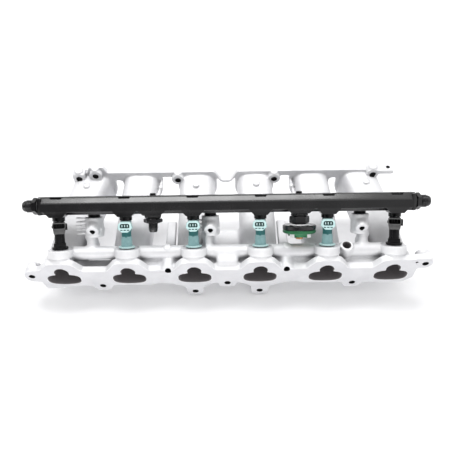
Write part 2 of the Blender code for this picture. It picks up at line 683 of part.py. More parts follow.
def build_injectors(parts, frame, materials):
    steel = materials["injector_steel"]
    rubber = materials["rubber"]
    body = injector_body_mesh()
    needle = turned_mesh("needle", [(0, 46), (1.05, 46), (1.05, 24), (0, 22.4)], 8)
    upper = ring_mesh("upper_seal", 3.75, 5.8, 80.6, 83.4, 10)
    lower = ring_mesh("lower_seal", 5.35, 7.2, 27.2, 30.8, 10)
    for mesh, material in ((body, steel), (needle, steel), (upper, rubber), (lower, rubber)):
        mesh.materials.append(material)
    black = injector_housing_mesh()
    teal = black.copy()
    black.materials.append(materials["black_plastic"])
    teal.materials.append(materials["teal_plastic"])
    for index in range(CYLINDERS):
        number = index + 1
        place = (cylinder_x(index), 0, 0)
        housing = black if number in (1, CYLINDERS) else teal
        for kind, mesh in (("body", body), ("housing", housing), ("needle", needle),
                           ("upper_seal", upper), ("lower_seal", lower)):
            obj = add_object(f"injector_{number}_{kind}", mesh, parts, frame, place)
            obj.rotation_euler.z = math.radians(SOCKET_TURNS[index])


# ---------------------------------------------------------------- pulsation damper

def build_damper(parts, frame, materials):
    """A spring-loaded diaphragm in a two-part case, hung from the rail on a hex adapter."""
    black = materials["black_anodised"]
    split = DAMPER_SPLIT
    adapter = turned_mesh("adapter", [(6.0, 92), (6.0, 81.4), (9.6, 81.2), (9.6, 67), (5.6, 66.8),
                                      (5.6, 64.2), (2.6, 64.2), (2.6, 92)])
    upper = turned_mesh("upper_case", [(9.5, 66.2), (DAMPER_RADIUS - 1, 65.8), (DAMPER_RADIUS, 65),
                                       (DAMPER_RADIUS, split + GAP), (18.4, split + GAP),
                                       (18.4, 63.6), (6.0, 63.6), (6.0, 66.2)], 20)
    lower = turned_mesh("lower_case", [(18.4, split - GAP), (DAMPER_RADIUS, split - GAP),
                                       (DAMPER_RADIUS, 55), (DAMPER_RADIUS - 1.2, 54),
                                       (16.5, 53.6), (14.5, 49.4), (9.5, 48.6), (3.4, 48.6),
                                       (3.4, 51), (13, 51.2), (18.4, 55.2)], 20)
    diaphragm = turned_mesh("diaphragm", [(0, 60.6), (9, 60.6), (9.4, 60.0), (17.8, 59.9),
                                          (17.8, 59.2), (9.4, 59.1), (9, 58.0), (0, 58.0)], 18)
    screw = turned_mesh("adjuster", [(0, 52), (2.9, 52), (2.9, 48.2), (5.2, 48), (5.2, 46),
                                     (4.6, 45.4), (1.8, 45.4), (1.6, 46.6), (0, 46.6)], 12)
    pieces = {"damper_adapter": (adapter, black), "damper_upper_case": (upper, black),
              "damper_lower_case": (lower, materials["green_anodised"]),
              "damper_diaphragm": (diaphragm, materials["injector_steel"]),
              "damper_adjuster": (screw, materials["brass"]),
              "damper_seal": (ring_mesh("seal", 9.9, 11.6, 79.4, 81.4), materials["rubber"]),
              "damper_spring": (spring_mesh(6.6, 0.7, 52.6, 57.2, 2), materials["injector_steel"])}
    for name, (mesh, material) in pieces.items():
        mesh.materials.append(material)
        add_object(name, mesh, parts, frame, (DAMPER_X, 0, 0))


def spring_mesh(radius, wire, low, high, turns, steps=10):
    """An open coil of round wire about Z."""
    curve = bpy.data.curves.new("coil", "CURVE")
    curve.dimensions = "3D"
    curve.bevel_depth = wire / 2 * MM
    curve.bevel_resolution = 1
    curve.use_fill_caps = True
    spline = curve.splines.new("POLY")
    count = turns * steps + 1
    spline.points.add(count - 1)
    for i, point in enumerate(spline.points):
        angle = 2 * math.pi * i / steps
        z = low + (high - low) * i / (count - 1)
        point.co = (radius * math.cos(angle) * MM, radius * math.sin(angle) * MM, z * MM, 1)
    obj = bpy.data.objects.new("coil", curve)
    bpy.context.scene.collection.objects.link(obj)
    return baked_mesh(obj)


def main():
    clear_scene()
    parts = new_collection("intake_manifold")
    materials = {name: make_material(name) for name in COLOURS}
    frame = add_object("fuel_frame", None, parts, place=(0, 0, FUEL_HEIGHT))
    frame.rotation_euler = (-math.radians(INJECTOR_TILT), 0, 0)
    black = materials["black_anodised"]
    build_casting(parts, frame, materials["cast_aluminium"])
    build_rail(parts, frame, black)
    build_end_fittings(parts, frame, black, materials["rubber"])
    build_return_port(parts, frame, black, materials["rubber"])
    build_mountings(parts, frame, materials["injector_steel"], black)
    build_injectors(parts, frame, materials)
    build_damper(parts, frame, materials)


main()
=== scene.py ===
"""The looks of the lower intake manifold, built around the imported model.

Lengths are millimetres until a mesh is made; the frame is metres. The fuel side is laid out in
the fuel frame, whose Z is the injector axis and whose -Y looks out over the head flange.
"""
import json
import math

import bmesh
import bpy
import numpy as np
from mathutils import Matrix, Vector


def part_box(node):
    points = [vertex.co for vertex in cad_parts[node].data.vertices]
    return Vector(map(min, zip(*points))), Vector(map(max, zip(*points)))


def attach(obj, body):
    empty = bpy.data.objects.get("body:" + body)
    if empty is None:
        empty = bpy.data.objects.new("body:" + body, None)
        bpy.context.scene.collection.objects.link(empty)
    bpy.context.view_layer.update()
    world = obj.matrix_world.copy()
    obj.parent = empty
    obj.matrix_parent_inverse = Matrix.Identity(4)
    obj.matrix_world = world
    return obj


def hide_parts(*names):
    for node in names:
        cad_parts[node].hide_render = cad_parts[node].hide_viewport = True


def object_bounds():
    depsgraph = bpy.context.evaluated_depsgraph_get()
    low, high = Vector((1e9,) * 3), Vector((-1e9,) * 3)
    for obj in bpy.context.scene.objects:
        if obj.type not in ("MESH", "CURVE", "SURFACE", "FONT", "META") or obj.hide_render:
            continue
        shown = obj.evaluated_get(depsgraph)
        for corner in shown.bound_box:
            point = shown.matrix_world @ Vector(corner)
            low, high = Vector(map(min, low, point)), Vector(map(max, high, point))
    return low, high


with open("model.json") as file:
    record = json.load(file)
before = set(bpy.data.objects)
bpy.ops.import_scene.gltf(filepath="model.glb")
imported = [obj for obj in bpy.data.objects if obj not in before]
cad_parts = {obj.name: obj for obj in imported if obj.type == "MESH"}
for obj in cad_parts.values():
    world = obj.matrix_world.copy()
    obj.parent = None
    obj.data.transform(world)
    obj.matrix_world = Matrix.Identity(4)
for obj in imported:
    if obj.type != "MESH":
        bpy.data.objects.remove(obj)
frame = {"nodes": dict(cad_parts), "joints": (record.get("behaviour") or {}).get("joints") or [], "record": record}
cad_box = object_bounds()

MM = 0.001
CAST_CELL = 1.25      # grid step of the casting's surface
CAST_FACE_LIMIT = 185000

# ---------------- places from the frame

JOINTS = {joint["name"]: joint for joint in frame["joints"]}
MOUNTS = {mount["name"]: mount for mount in frame["record"]["mounts"]}
SWIVELS = [JOINTS[f"injector_{n}_swivel"] for n in range(1, 7)]
CYLINDER_X = [joint["pos_m"][0] / MM for joint in SWIVELS]
FUEL_HEIGHT = SWIVELS[0]["pos_m"][2] / MM
LEAN = math.atan2(SWIVELS[0]["axis"][1], SWIVELS[0]["axis"][2])
LEAN_SIN = math.sin(LEAN)
LEAN_COS = math.cos(LEAN)
FUEL_FRAME = Matrix.Translation((0, 0, FUEL_HEIGHT * MM)) @ Matrix.Rotation(-LEAN, 4, "X")
PLENUM_FACE = MOUNTS["plenum_flange_face"]["pos_m"][1] / MM
CAST_LOW, CAST_HIGH = (np.array(corner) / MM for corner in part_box("manifold_casting"))


def fuel_points(node):
    """A CAD node's points in the fuel frame, in millimetres."""
    back = FUEL_FRAME.inverted()
    return np.array([back @ v.co for v in frame["nodes"][node].data.vertices]) / MM


def fuel_span(node):
    points = fuel_points(node)
    return points.min(0), points.max(0)


def fuel_middle(node):
    return sum(fuel_span(node)) / 2


RAIL_LOW, RAIL_HIGH = fuel_span("fuel_rail")
RAIL_END = RAIL_HIGH[0]
RAIL_TOP = RAIL_HIGH[2]
CUP_BOTTOM = RAIL_LOW[2]
COLUMN_X = [fuel_middle(f"rail_bolt_{n}")[0] for n in (1, 2, 3)]
COLUMN_BACK = fuel_middle("rail_bolt_1")[1]
SPACER_LOW, SPACER_HIGH = (corner[2] for corner in fuel_span("rail_spacer_1"))
PORT_X = fuel_middle("return_port_fitting")[0]
DAMPER_X = fuel_middle("damper_adapter")[0]

# ---------------- sizes of the casting

HEAD_HOLES = ((-276, 6), (-181, -21), (-83, 15), (-47.5, -40), (0, -17.5),
              (47.5, -40), (83, 15), (181, -21), (274, 25))
PIN_HOLE = (261, 29)
M8_RADIUS = 4.25
HEAD_THICKNESS = 10.0
LUG_RADIUS = 9.5
DEEP_LUG_BACK = 43.0
PLENUM_THICKNESS = 9.0
PLENUM_X = (-201.0, -129.0, -44.0, 44.0, 129.0, 201.0)
PLENUM_HOLES = ((-221.5, 54), (-196, 59), (-73, 48), (73, 48), (221.5, 55))
PLENUM_TOP = 58.0
PLENUM_LUG_FACE = 142.5
RIM_RADIUS = 30.0
TAB_LOW = (226, 141, 56)
TAB_HIGH = (252, 158, 63.5)
TAB_HOLE = (244, 149.5)
RUNNER_RADII = (28.0, 26.5, 26.5, 26.5, 26.5, 28.0)
RUNNER_HALF_HEIGHT = 18.5
RUNNER_RISE = 26.0
OVAL_POWER = 0.7                # 1 for an ellipse, less for flatter sides
RUNNER_END_POWER = 0.55
SWAY_START = 40.0
SWAY_EASE = 12.0
DUCT_RADIUS = 22.5
PORT_HALF_WIDTH = 22.8
PORT_HALF_HEIGHT = 11.7
PORT_DROP = -3.0
PORT_CROWN_Z = 13.5
CROWN_RADIUS = 9.75
VALLEY_TOP = 17.0
ARCH_TOP = 35.0
LOBE_BOTTOM = CAST_LOW[2]
GALLERY = (27.0, 24.0)
GALLERY_RADIUS = 9.5
BOSS_RADIUS = 16.0
BOSS_ROOT = 16.5
BOSS_FACE = 35.0
SPRAY_RADIUS = 8.2
SEAT_RADIUS = 7.6
COLUMN_RADIUS = 12.0
COLUMN_FACE = SPACER_LOW - 0.35
PAD_Z = 53.0
PAD_FACE = 42.0
PAD_HOLE_RADIUS = 3.3
TEST_PORT = (167.0, 25.0, 38.0)
STAY_X = 130.0
STAY_Y = 128.0


# ---------------- distance shapes, in mm

def rod(start, end, radius, end_radius=None, edge=1.0):
    """A round bar or cone between two points, its rims rounded by edge."""
    start, end = np.array(start, float), np.array(end, float)
    length = np.linalg.norm(end - start)
    axis = (end - start) / length
    last = radius if end_radius is None else end_radius

    def distance(x, y, z):
        dx, dy, dz = x - start[0], y - start[1], z - start[2]
        along = dx * axis[0] + dy * axis[1] + dz * axis[2]
        away = np.sqrt(np.maximum(dx * dx + dy * dy + dz * dz - along * along, 0))
        wide = radius + (last - radius) * np.clip(along / length, 0, 1)
        return rounded(away - wide + edge, np.abs(along - length / 2) - length / 2 + edge, edge)

    reach = max(radius, last)
    return distance, np.minimum(start, end) - reach, np.maximum(start, end) + reach


def rounded(a, b, edge):
    """Meet two half spaces with a rounded edge."""
    outside = np.hypot(np.maximum(a, 0), np.maximum(b, 0))
    return outside + np.minimum(np.maximum(a, b), 0) - edge


def block(low, high, edge=1.5):
    """A box between two corners with rounded edges."""
    low, high = np.array(low, float), np.array(high, float)
    middle, half = (low + high) / 2, (high - low) / 2 - edge

    def distance(x, y, z):
        qx = np.abs(x - middle[0]) - half[0]
        qy = np.abs(y - middle[1]) - half[1]
        qz = np.abs(z - middle[2]) - half[2]
        outside = np.sqrt(np.maximum(qx, 0) ** 2 + np.maximum(qy, 0) ** 2 + np.maximum(qz, 0) ** 2)
        return outside + np.minimum(np.maximum(np.maximum(qx, qy), qz), 0) - edge

    return distance, low, high


def fuel_point(x, y, z):
    """A point of the fuel frame, in the row frame."""
    return (x, y * LEAN_COS + z * LEAN_SIN, FUEL_HEIGHT - y * LEAN_SIN + z * LEAN_COS)


def fuel_rod(x, y, low, high, radius, end_radius=None, edge=1.0):
    return rod(fuel_point(x, y, low), fuel_point(x, y, high), radius, end_radius, edge)


def rounded_outline(corners, steps=8):
    """Turn corners given as (x, z, radius) into points, each corner an arc."""
    points = []
    count = len(corners)
    for i, (x, z, radius) in enumerate(corners):
        here = Vector((x, z))
        if radius == 0:
            points.append(tuple(here))
            continue
        back = (Vector(corners[i - 1][:2]) - here).normalized()
        ahead = (Vector(corners[(i + 1) % count][:2]) - here).normalized()
        half = back.angle(ahead) / 2
        centre = here + (back + ahead).normalized() * (radius / math.sin(half))
        first = here + back * (radius / math.tan(half)) - centre
        sweep = first.angle_signed(here + ahead * (radius / math.tan(half)) - centre)
        for step in range(steps + 1):
            turn = Matrix.Rotation(-sweep * step / steps, 2)
            points.append(tuple(centre + turn @ first))
    return points


def plate(corners, low, high, edge=1.5):
    """A flat outline in XZ between y = low and y = high."""
    points = np.array(rounded_outline(corners))
    ahead = np.roll(points, -1, 0)

    def distance(x, y, z):
        px, pz = x[:, 0, :], z[0]
        px, pz = np.broadcast_arrays(px, pz)
        nearest = np.full(px.shape, 1e9)
        inside = np.zeros(px.shape, bool)
        for (ax, az), (bx, bz) in zip(points, ahead):
            ex, ez = bx - ax, bz - az
            wx, wz = px - ax, pz - az
            along = np.clip((wx * ex + wz * ez) / (ex * ex + ez * ez + 1e-12), 0, 1)
            nearest = np.minimum(nearest, (wx - ex * along) ** 2 + (wz - ez * along) ** 2)
            crossing = (az > pz) != (bz > pz)
            if ez:
                inside ^= crossing & (px < ax + ex * (pz - az) / ez)
        flat = np.sqrt(nearest) * np.where(inside, -1, 1)
        thick = np.abs(y - (low + high) / 2) - (high - low) / 2
        return rounded(flat[:, None, :] + edge, thick + edge, edge)

    corner_low = (points[:, 0].min(), low, points[:, 1].min())
    corner_high = (points[:, 0].max(), high, points[:, 1].max())
    return distance, np.array(corner_low), np.array(corner_high)


def sway(y):
    """How far a runner has moved from its head port's X to its plenum port's X, from 0 to 1."""
    past = y - SWAY_START
    whole = PLENUM_FACE - SWAY_START
    eased = past + np.sqrt(past * past + SWAY_EASE * SWAY_EASE)
    return eased / (whole + math.hypot(whole, SWAY_EASE))


def duct(index, half_width, half_height, radius, span, end_power=1.0):
    """A tube that turns from a flat oval at the head port into a rounder one at the plenum."""
    head_x, plenum_x = CYLINDER_X[index], PLENUM_X[index]
    first_y, last_y = span

    def distance(x, y, z):
        part = np.clip((y - first_y) / (last_y - first_y), 0, 1)
        blend = part * part * (3 - 2 * part)
        centre_x = head_x + (plenum_x - head_x) * sway(y)
        centre_z = PORT_DROP + (RUNNER_RISE - PORT_DROP) * blend
        wide = half_width + (radius - half_width) * blend
        tall = half_height + (radius - half_height) * blend
        power = 2 / (OVAL_POWER + (end_power - OVAL_POWER) * blend)
        across = np.abs((x - centre_x) / wide) ** power + np.abs((z - centre_z) / tall) ** power
        skin = (across ** (1 / power) - 1) * np.minimum(wide, tall)
        ends = np.maximum(first_y - y, y - last_y)
        return np.maximum(skin, ends)

    reach = max(half_width, radius) + 2
    low = (min(head_x, plenum_x) - reach, first_y, PORT_DROP - half_height - 2)
    high = (max(head_x, plenum_x) + reach, last_y, RUNNER_RISE + radius + 2)
    return distance, np.array(low), np.array(high)


class Field:
    """A grid of distances that shapes are joined to and cut from with soft corners."""

    def __init__(self, low, high, cell):
        self.low = np.array(low, float)
        self.cell = cell
        counts = np.ceil((np.array(high) - self.low) / cell).astype(int) + 1
        self.values = np.full(counts, 60.0, np.float32)

    def window(self, low, high, margin):
        first = np.floor((low - margin - self.low) / self.cell).astype(int)
        last = np.ceil((high + margin - self.low) / self.cell).astype(int) + 1
        first = np.clip(first, 0, self.values.shape)
        last = np.clip(last, 0, self.values.shape)
        axes = [self.low[i] + self.cell * np.arange(first[i], last[i]) for i in range(3)]
        grid = axes[0][:, None, None], axes[1][None, :, None], axes[2][None, None, :]
        return tuple(slice(a, b) for a, b in zip(first, last)), grid

    def join(self, shape, soft, sign=1):
        """Add a shape, or take it away when sign is -1, with corners softened over soft mm."""
        distance, low, high = shape
        part, grid = self.window(low, high, soft + 3 * self.cell)
        old, new = sign * self.values[part], distance(*grid)
        near = np.maximum(soft - np.abs(old - new), 0)
        self.values[part] = sign * (np.minimum(old, new) - near * near / (4 * soft))

    def cut(self, shape, soft):
        self.join(shape, soft, -1)


def surface_of(field):
    """Points and quads of the zero surface: one point in each cell that the surface crosses."""
    values, cell = field.values, field.cell
    inside = values < 0
    corners = [(i, j, k) for i in (0, 1) for j in (0, 1) for k in (0, 1)]
    size = np.array(values.shape) - 1
    count = np.zeros(size, np.uint8)
    for i, j, k in corners:
        count += inside[i:i + size[0], j:j + size[1], k:k + size[2]]
    cells = np.argwhere((count > 0) & (count < 8))
    number = np.full(size, -1, np.int32)
    number[tuple(cells.T)] = np.arange(len(cells))
    total = np.zeros((len(cells), 3))
    hits = np.zeros(len(cells))
    for a in corners:
        for axis in range(3):
            if a[axis]:
                continue
            b = tuple(1 if n == axis else a[n] for n in range(3))
            va = values[tuple((cells + a).T)]
            vb = values[tuple((cells + b).T)]
            cross = (va < 0) != (vb < 0)
            step = np.where(cross, va / np.where(cross, va - vb, 1), 0)
            point = np.array(a, float) + step[:, None] * (np.array(b) - np.array(a))
            total += np.where(cross[:, None], point, 0)
            hits += cross
    points = field.low + cell * (cells + total / hits[:, None])
    quads = []
    for axis in range(3):
        u, v = (axis + 1) % 3, (axis + 2) % 3
        first = np.take(inside, range(values.shape[axis] - 1), axis)
        second = np.take(inside, range(1, values.shape[axis]), axis)
        for start, flip in ((True, False), (False, True)):
            edges = np.argwhere((first == start) & (second != start))
            edges = edges[(edges[:, u] > 0) & (edges[:, v] > 0)
                          & (edges[:, u] < size[u]) & (edges[:, v] < size[v])]
            ring = []
            for du, dv in ((-1, -1), (0, -1), (0, 0), (-1, 0)):
                shifted = edges.copy()
                shifted[:, u] += du
                shifted[:, v] += dv
                ring.append(number[tuple(shifted.T)])
            quad = np.stack(ring, 1)
            quads.append(quad[:, ::-1] if flip else quad)
    return points, np.concatenate(quads)


# ---------------- the casting

def head_flange_corners():
    """The flange outline: along the bottom from the left ear, then back over the ports."""
    lobe = ((-80, -19, 8), (-61, -27, 9), (-58.5, LOBE_BOTTOM, 10.4), (-36.5, LOBE_BOTTOM, 10.4),
            (-34, -27, 9), (-20, -18, 8))
    centre = ((-14, -18, 3), (-10, -28, 8), (10, -28, 8), (14, -18, 3))
    mirrored_lobe = tuple((-x, z, r) for x, z, r in reversed(lobe))
    left = ((-285, 18, 9), (-285, -6, 9), (-266, -9, 4), (-264, -26, 5), (-240, -26, 8),
            (-228, -21, 6), (-197, -21, 5), (-191, -32, 8), (-171, -32, 8), (-165, -20, 5),
            (-112, -20, 8), (-96, -15, 10))
    right = ((96, -15, 10), (112, -20, 8), (165, -20, 5), (171, -32, 8), (191, -32, 8),
             (197, -21, 5), (254, -21, 8), (266, -9, 6), (266, 14, 4), (283, 16, 9),
             (283, 37, 8), (263, 37, 6))
    corners = list(left + lobe + centre + mirrored_lobe + right)
    for index in reversed(range(6)):
        x = CYLINDER_X[index]
        if index < 5:
            corners.append((x + 30, VALLEY_TOP, 5))
        corners.append((x + 17, ARCH_TOP, 11))
        corners.append((x - 17, ARCH_TOP, 11))
        if index > 0:
            corners.append((x - 30, VALLEY_TOP, 5))
    corners.append((-264, 20, 5))
    return corners


def plenum_flange_corners():
    """The scalloped plate: round under each duct, bridged along the top."""
    corners = []
    bottom = RUNNER_RISE - RIM_RADIUS
    bridges = (41, 47, None, 47, 41)        # lowest edge between two ducts, none in the middle
    for index, x in enumerate(PLENUM_X):
        left, right = x - RIM_RADIUS, x + RIM_RADIUS
        if index and bridges[index - 1]:
            corners.append((left, bridges[index - 1], 5))
        corners += [(left, bottom, RIM_RADIUS - 3), (right, bottom, RIM_RADIUS - 3)]
        if index < len(bridges) and bridges[index]:
            corners.append((right, bridges[index], 5))
        elif index < len(bridges):
            corners += [(right, 46, 1.2), (-8, 34, 8), (8, 34, 8), (-right, 46, 1.2)]
    corners += [(PLENUM_X[-1] + RIM_RADIUS, PLENUM_TOP, 5)]
    corners += [(17, PLENUM_TOP, 8), (8, 39, 7), (-8, 39, 7), (-17, PLENUM_TOP, 8)]
    corners += [(-180, PLENUM_TOP, 4), (-185, 70, 4), (-206, 70, 4), (-210, PLENUM_TOP, 4),
                (PLENUM_X[0] - RIM_RADIUS, PLENUM_TOP, 5)]
    return corners


def cast_solids(field):
    """Everything the casting adds, largest first, so that small bosses keep their shape."""
    field.join(plate(head_flange_corners(), -4, HEAD_THICKNESS, 1.2), 0.5)
    low = PLENUM_FACE - PLENUM_THICKNESS
    field.join(plate(plenum_flange_corners(), low, PLENUM_FACE + 4, 1.1), 0.5)
    for index, radius in enumerate(RUNNER_RADII):
        span = (4, PLENUM_FACE - 6)
        field.join(duct(index, radius, RUNNER_HALF_HEIGHT, radius, span, RUNNER_END_POWER), 4)
    end = CYLINDER_X[-1]
    field.join(block((-end, 4, -9), (end, GALLERY[0], 7)), 5)
    field.join(block((CYLINDER_X[1], 4, -9), (end, GALLERY[0], VALLEY_TOP - 0.8)), 4)
    field.join(rod((-end, *GALLERY), (end, *GALLERY), GALLERY_RADIUS), 6)
    for x in (-83.0, 83.0):
        field.join(block((x - 12, 4, 0), (x + 12, GALLERY[0], VALLEY_TOP - 1)), 6)
    field.join(block((-15, 8, 0), (15, GALLERY[0] + 4, GALLERY[1] + 5), 5), 7)
    for x in CYLINDER_X:
        field.join(fuel_rod(x, 0, BOSS_ROOT - 2.5, 28, BOSS_RADIUS + 0.5, BOSS_RADIUS - 1), 2.5)
        field.join(fuel_rod(x, 0, 23.5, BOSS_FACE + 2, BOSS_RADIUS + 1.4, edge=1.2), 1.2)
    for side in (-1, 1):
        step = sorted((side * 246, side * 258))
        field.join(block((step[0], 6, 4), (step[1], 26, 22), 2.5), 3)
        step = sorted((side * 240, side * 251))
        field.join(block((step[0], 10, 8), (step[1], 34, 31), 3), 2)
    cast_bosses(field)
    cast_columns(field)
    cast_ribs(field)
    cast_pads(field)


def cast_bosses(field):
    for x, z in (HEAD_HOLES[0], HEAD_HOLES[-1]):
        field.join(rod((x, -4, z), (x, 20, z), 10.5, edge=2), 3)
    for x, z in (HEAD_HOLES[2], HEAD_HOLES[6]):
        field.join(rod((x, 2, z), (x, DEEP_LUG_BACK, z), LUG_RADIUS, edge=3), 3)
    for x, z in PLENUM_HOLES:
        field.join(rod((x, PLENUM_LUG_FACE, z), (x, PLENUM_FACE - 2, z), LUG_RADIUS, edge=1.2), 1.5)
    x, z = PLENUM_HOLES[0]
    field.join(block((x - 10, PLENUM_LUG_FACE + 1, 34), (x + 9, PLENUM_FACE - 1, z + 8), 2), 2)
    field.join(block(TAB_LOW, TAB_HIGH, 2.5), 2)
    x, y, z = TEST_PORT
    field.join(rod((x, y, 0), (x, y, z), 9, edge=1.2), 3)
    for x in (-STAY_X, STAY_X):
        field.join(rod((x, STAY_Y, 15), (x, STAY_Y, LOBE_BOTTOM - 4), 12, 10), 6)
        field.join(block((x - 4, STAY_Y, -30), (x + 4, PLENUM_FACE - 2, 12), 1.5), 4)


def cast_columns(field):
    """The rail's three posts: a round body, a stub that faces the head, a shoulder and a web."""
    for x, side in zip(COLUMN_X, (-1, -1, 1)):
        stem = x + side * 4.5
        field.join(rod(fuel_point(stem, COLUMN_BACK - 3, 22), fuel_point(stem, COLUMN_BACK, 56), 7), 4)
        near, far = sorted((x, x + side * 14))
        field.join(block((near, 44, 6), (far, 56, 38), 2), 5)
        field.join(fuel_rod(x, COLUMN_BACK, 50, COLUMN_FACE + 2, COLUMN_RADIUS + 0.5, edge=3), 2)
        field.join(block((x + 1, PAD_FACE + 6, 36), (x + 12.5, 60, 52), 1.5), 1.5)
        field.join(rod((x, PAD_FACE, PAD_Z), (x, 60, PAD_Z), 8.8, 9.6, 1.0), 0.8)


def cast_ribs(field):
    """Fins beside two columns, webs between the runners and thin ribs along them."""
    for x, count in zip(COLUMN_X, (5, 4)):
        for level in range(count):
            z = 55 + 5.5 * level
            field.join(fuel_rod(x - 20, 9, z, z + 1.7, 4.2, edge=0.7), 0.6)
            lean_bar = fuel_point(x - 20, 9, z + 0.85), fuel_point(x - 8, 11, z + 0.85)
            field.join(rod(*lean_bar, 1.5, edge=0.7), 0.6)
    field.join(block((-30, 8, 2), (30, 78, 8), 2), 5)
    for side in (-1, 1):
        x = side * 83
        field.join(block((x - 7, 20, 1), (x + 7, 96, 7), 2), 4)
        field.join(rod((side * 98, PLENUM_FACE - 6, 42), (side * 105, 116, 30), 2.2), 2)
        field.join(rod((side * 101, 138, 36), (side * 99, 138, 40), 3.4), 1.5)
    for x in (-24, 24):
        field.join(rod((x, PLENUM_FACE - 6, 40), (x * 0.8, 118, 28), 2.0), 2)


def cast_pads(field):
    """Low round ejector pads on the gallery, the ears, the lugs and the runners."""
    for x in (-84.0, 84.0):
        field.join(rod((x, 29, 26), (x, 29, 35), 5, edge=1.2), 0.8)
    for x, y, z in ((-275, 10, 19.5), (277, 6, 37.5)):
        field.join(rod((x, y, z - 10), (x, y, z), 6.4, edge=1.2), 0.8)
    for x, z in PLENUM_HOLES:
        top = z + LUG_RADIUS
        field.join(rod((x, PLENUM_LUG_FACE + 7, top - 5), (x, PLENUM_LUG_FACE + 7, top + 1.6), 5.6,
                       edge=1.2), 1)
    for x, y in ((-209, 130.6), (-45, 129.7), (45, 131), (210, 131)):
        field.join(rod((x, y, 40), (x, y, 53.5), 4.6, edge=1.0), 0.8)


def port_shapes():
    """What the air passes through at each cylinder: the duct, its crown and the spray pocket."""
    shapes = []
    for index, x in enumerate(CYLINDER_X):
        shapes.append(duct(index, PORT_HALF_WIDTH, PORT_HALF_HEIGHT, DUCT_RADIUS,
                           (-2, PLENUM_FACE + 2)))
        shapes.append(rod((x, -6, PORT_CROWN_Z), (x, 12, PORT_CROWN_Z), CROWN_RADIUS, edge=0.2))
        shapes.append(fuel_rod(x, 0, -18, 17, SPRAY_RADIUS))
    x, y, z = TEST_PORT
    shapes.append(rod((x, y, z - 24), (x, y, z + 4), 5.5, edge=0.1))
    return shapes


def drilled_shapes():
    """The small holes: studs, screws, the pin and the plenum's threads."""
    shapes = [rod((x, -6, z), (x, DEEP_LUG_BACK + 7, z), M8_RADIUS, edge=0.1) for x, z in HEAD_HOLES]
    x, z = PIN_HOLE
    shapes.append(rod((x, -6, z), (x, 9, z), 1.7, edge=0.1))
    for x, z in PLENUM_HOLES:
        shapes.append(rod((x, PLENUM_LUG_FACE - 2, z), (x, PLENUM_FACE + 6, z), M8_RADIUS, edge=0.1))
    x, y = TAB_HOLE
    shapes.append(rod((x, y, TAB_LOW[2] - 3), (x, y, TAB_HIGH[2] + 3), 2.6, edge=0.1))
    for x in COLUMN_X:
        shapes.append(fuel_rod(x, COLUMN_BACK, 55, COLUMN_FACE + 6, 3.35, edge=0.1))
        shapes.append(rod((x, 30, PAD_Z), (x, 51, PAD_Z), PAD_HOLE_RADIUS, edge=0.1))
    for x in (-STAY_X, STAY_X):
        shapes.append(rod((x, STAY_Y, LOBE_BOTTOM - 6), (x, STAY_Y, -28), M8_RADIUS, edge=0.1))
    return shapes


def cast_cuts(field):
    """Ports, seats, holes and the machined faces."""
    wide = (CAST_LOW[0] - 20, CAST_HIGH[0] + 20)
    field.cut(block((wide[0], -30, -90), (wide[1], 0, 90), 0.01), 0.8)
    field.cut(block((wide[0], PLENUM_FACE, -90), (wide[1], PLENUM_FACE + 30, 120), 0.01), 0.8)
    field.cut(block((wide[0], STAY_Y - 20, -90), (wide[1], STAY_Y + 20, LOBE_BOTTOM), 0.01), 0.3)
    for shape in port_shapes():
        field.cut(shape, 1.2)
    for x in CYLINDER_X:
        field.cut(fuel_rod(x, 0, 10, BOSS_FACE + 3, SEAT_RADIUS, edge=0.2), 0.6)
        field.cut(fuel_rod(x, 0, BOSS_FACE, BOSS_FACE + 20, BOSS_RADIUS + 1.4, edge=0.2), 0.4)
    for x in COLUMN_X:
        field.cut(fuel_rod(x, COLUMN_BACK, COLUMN_FACE, COLUMN_FACE + 9, 20, edge=0.2), 0.3)
    for shape in drilled_shapes():
        field.cut(shape, 0.5)


def build_casting():
    field = Field(CAST_LOW - 6, CAST_HIGH + 6, CAST_CELL)
    cast_solids(field)
    cast_cuts(field)
    points, quads = surface_of(field)
    mesh = bpy.data.meshes.new("casting_skin")
    mesh.from_pydata((points * MM).tolist(), [], quads.tolist())
    mesh.validate()
    casting = add_object("casting_skin", mesh)
    faces = 2 * len(casting.data.polygons)
    if faces > CAST_FACE_LIMIT:
        apply_modifier(casting, "DECIMATE", ratio=CAST_FACE_LIMIT / faces)
    mark_finishes(casting.data)
    finish_piece(casting, "manifold_casting", ["cast_aluminium"], sharp=48)


def mark_finishes(mesh):
    """Give each point what the casting's material reads: whether it is milled, and its distance
    to the nearest port and to the nearest drilled hole, in millimetres."""
    places = np.zeros(3 * len(mesh.vertices), np.float32)
    mesh.vertices.foreach_get("co", places)
    x, y, z = places.reshape(-1, 3).T.astype(float) / MM
    along = y * LEAN_SIN + (z - FUEL_HEIGHT) * LEAN_COS
    back = y * LEAN_COS - (z - FUEL_HEIGHT) * LEAN_SIN
    milled = (y < 0.06) | (y > PLENUM_FACE - 0.06) | ((z < LOBE_BOTTOM + 0.06) & (y > 60))
    for centre in CYLINDER_X:
        near = np.hypot(x - centre, back) < BOSS_RADIUS + 1
        milled |= near & (abs(along - BOSS_FACE) < 0.2)
    for centre in COLUMN_X:
        near = np.hypot(x - centre, back - COLUMN_BACK) < COLUMN_RADIUS + 1
        milled |= near & (abs(along - COLUMN_FACE) < 0.2)
    layers = {"milled": milled, "port": nearest(port_shapes(), x, y, z),
              "drilled": nearest(drilled_shapes(), x, y, z)}
    for name, values in layers.items():
        layer = mesh.attributes.new(name, "FLOAT", "POINT")
        layer.data.foreach_set("value", np.asarray(values, np.float32))


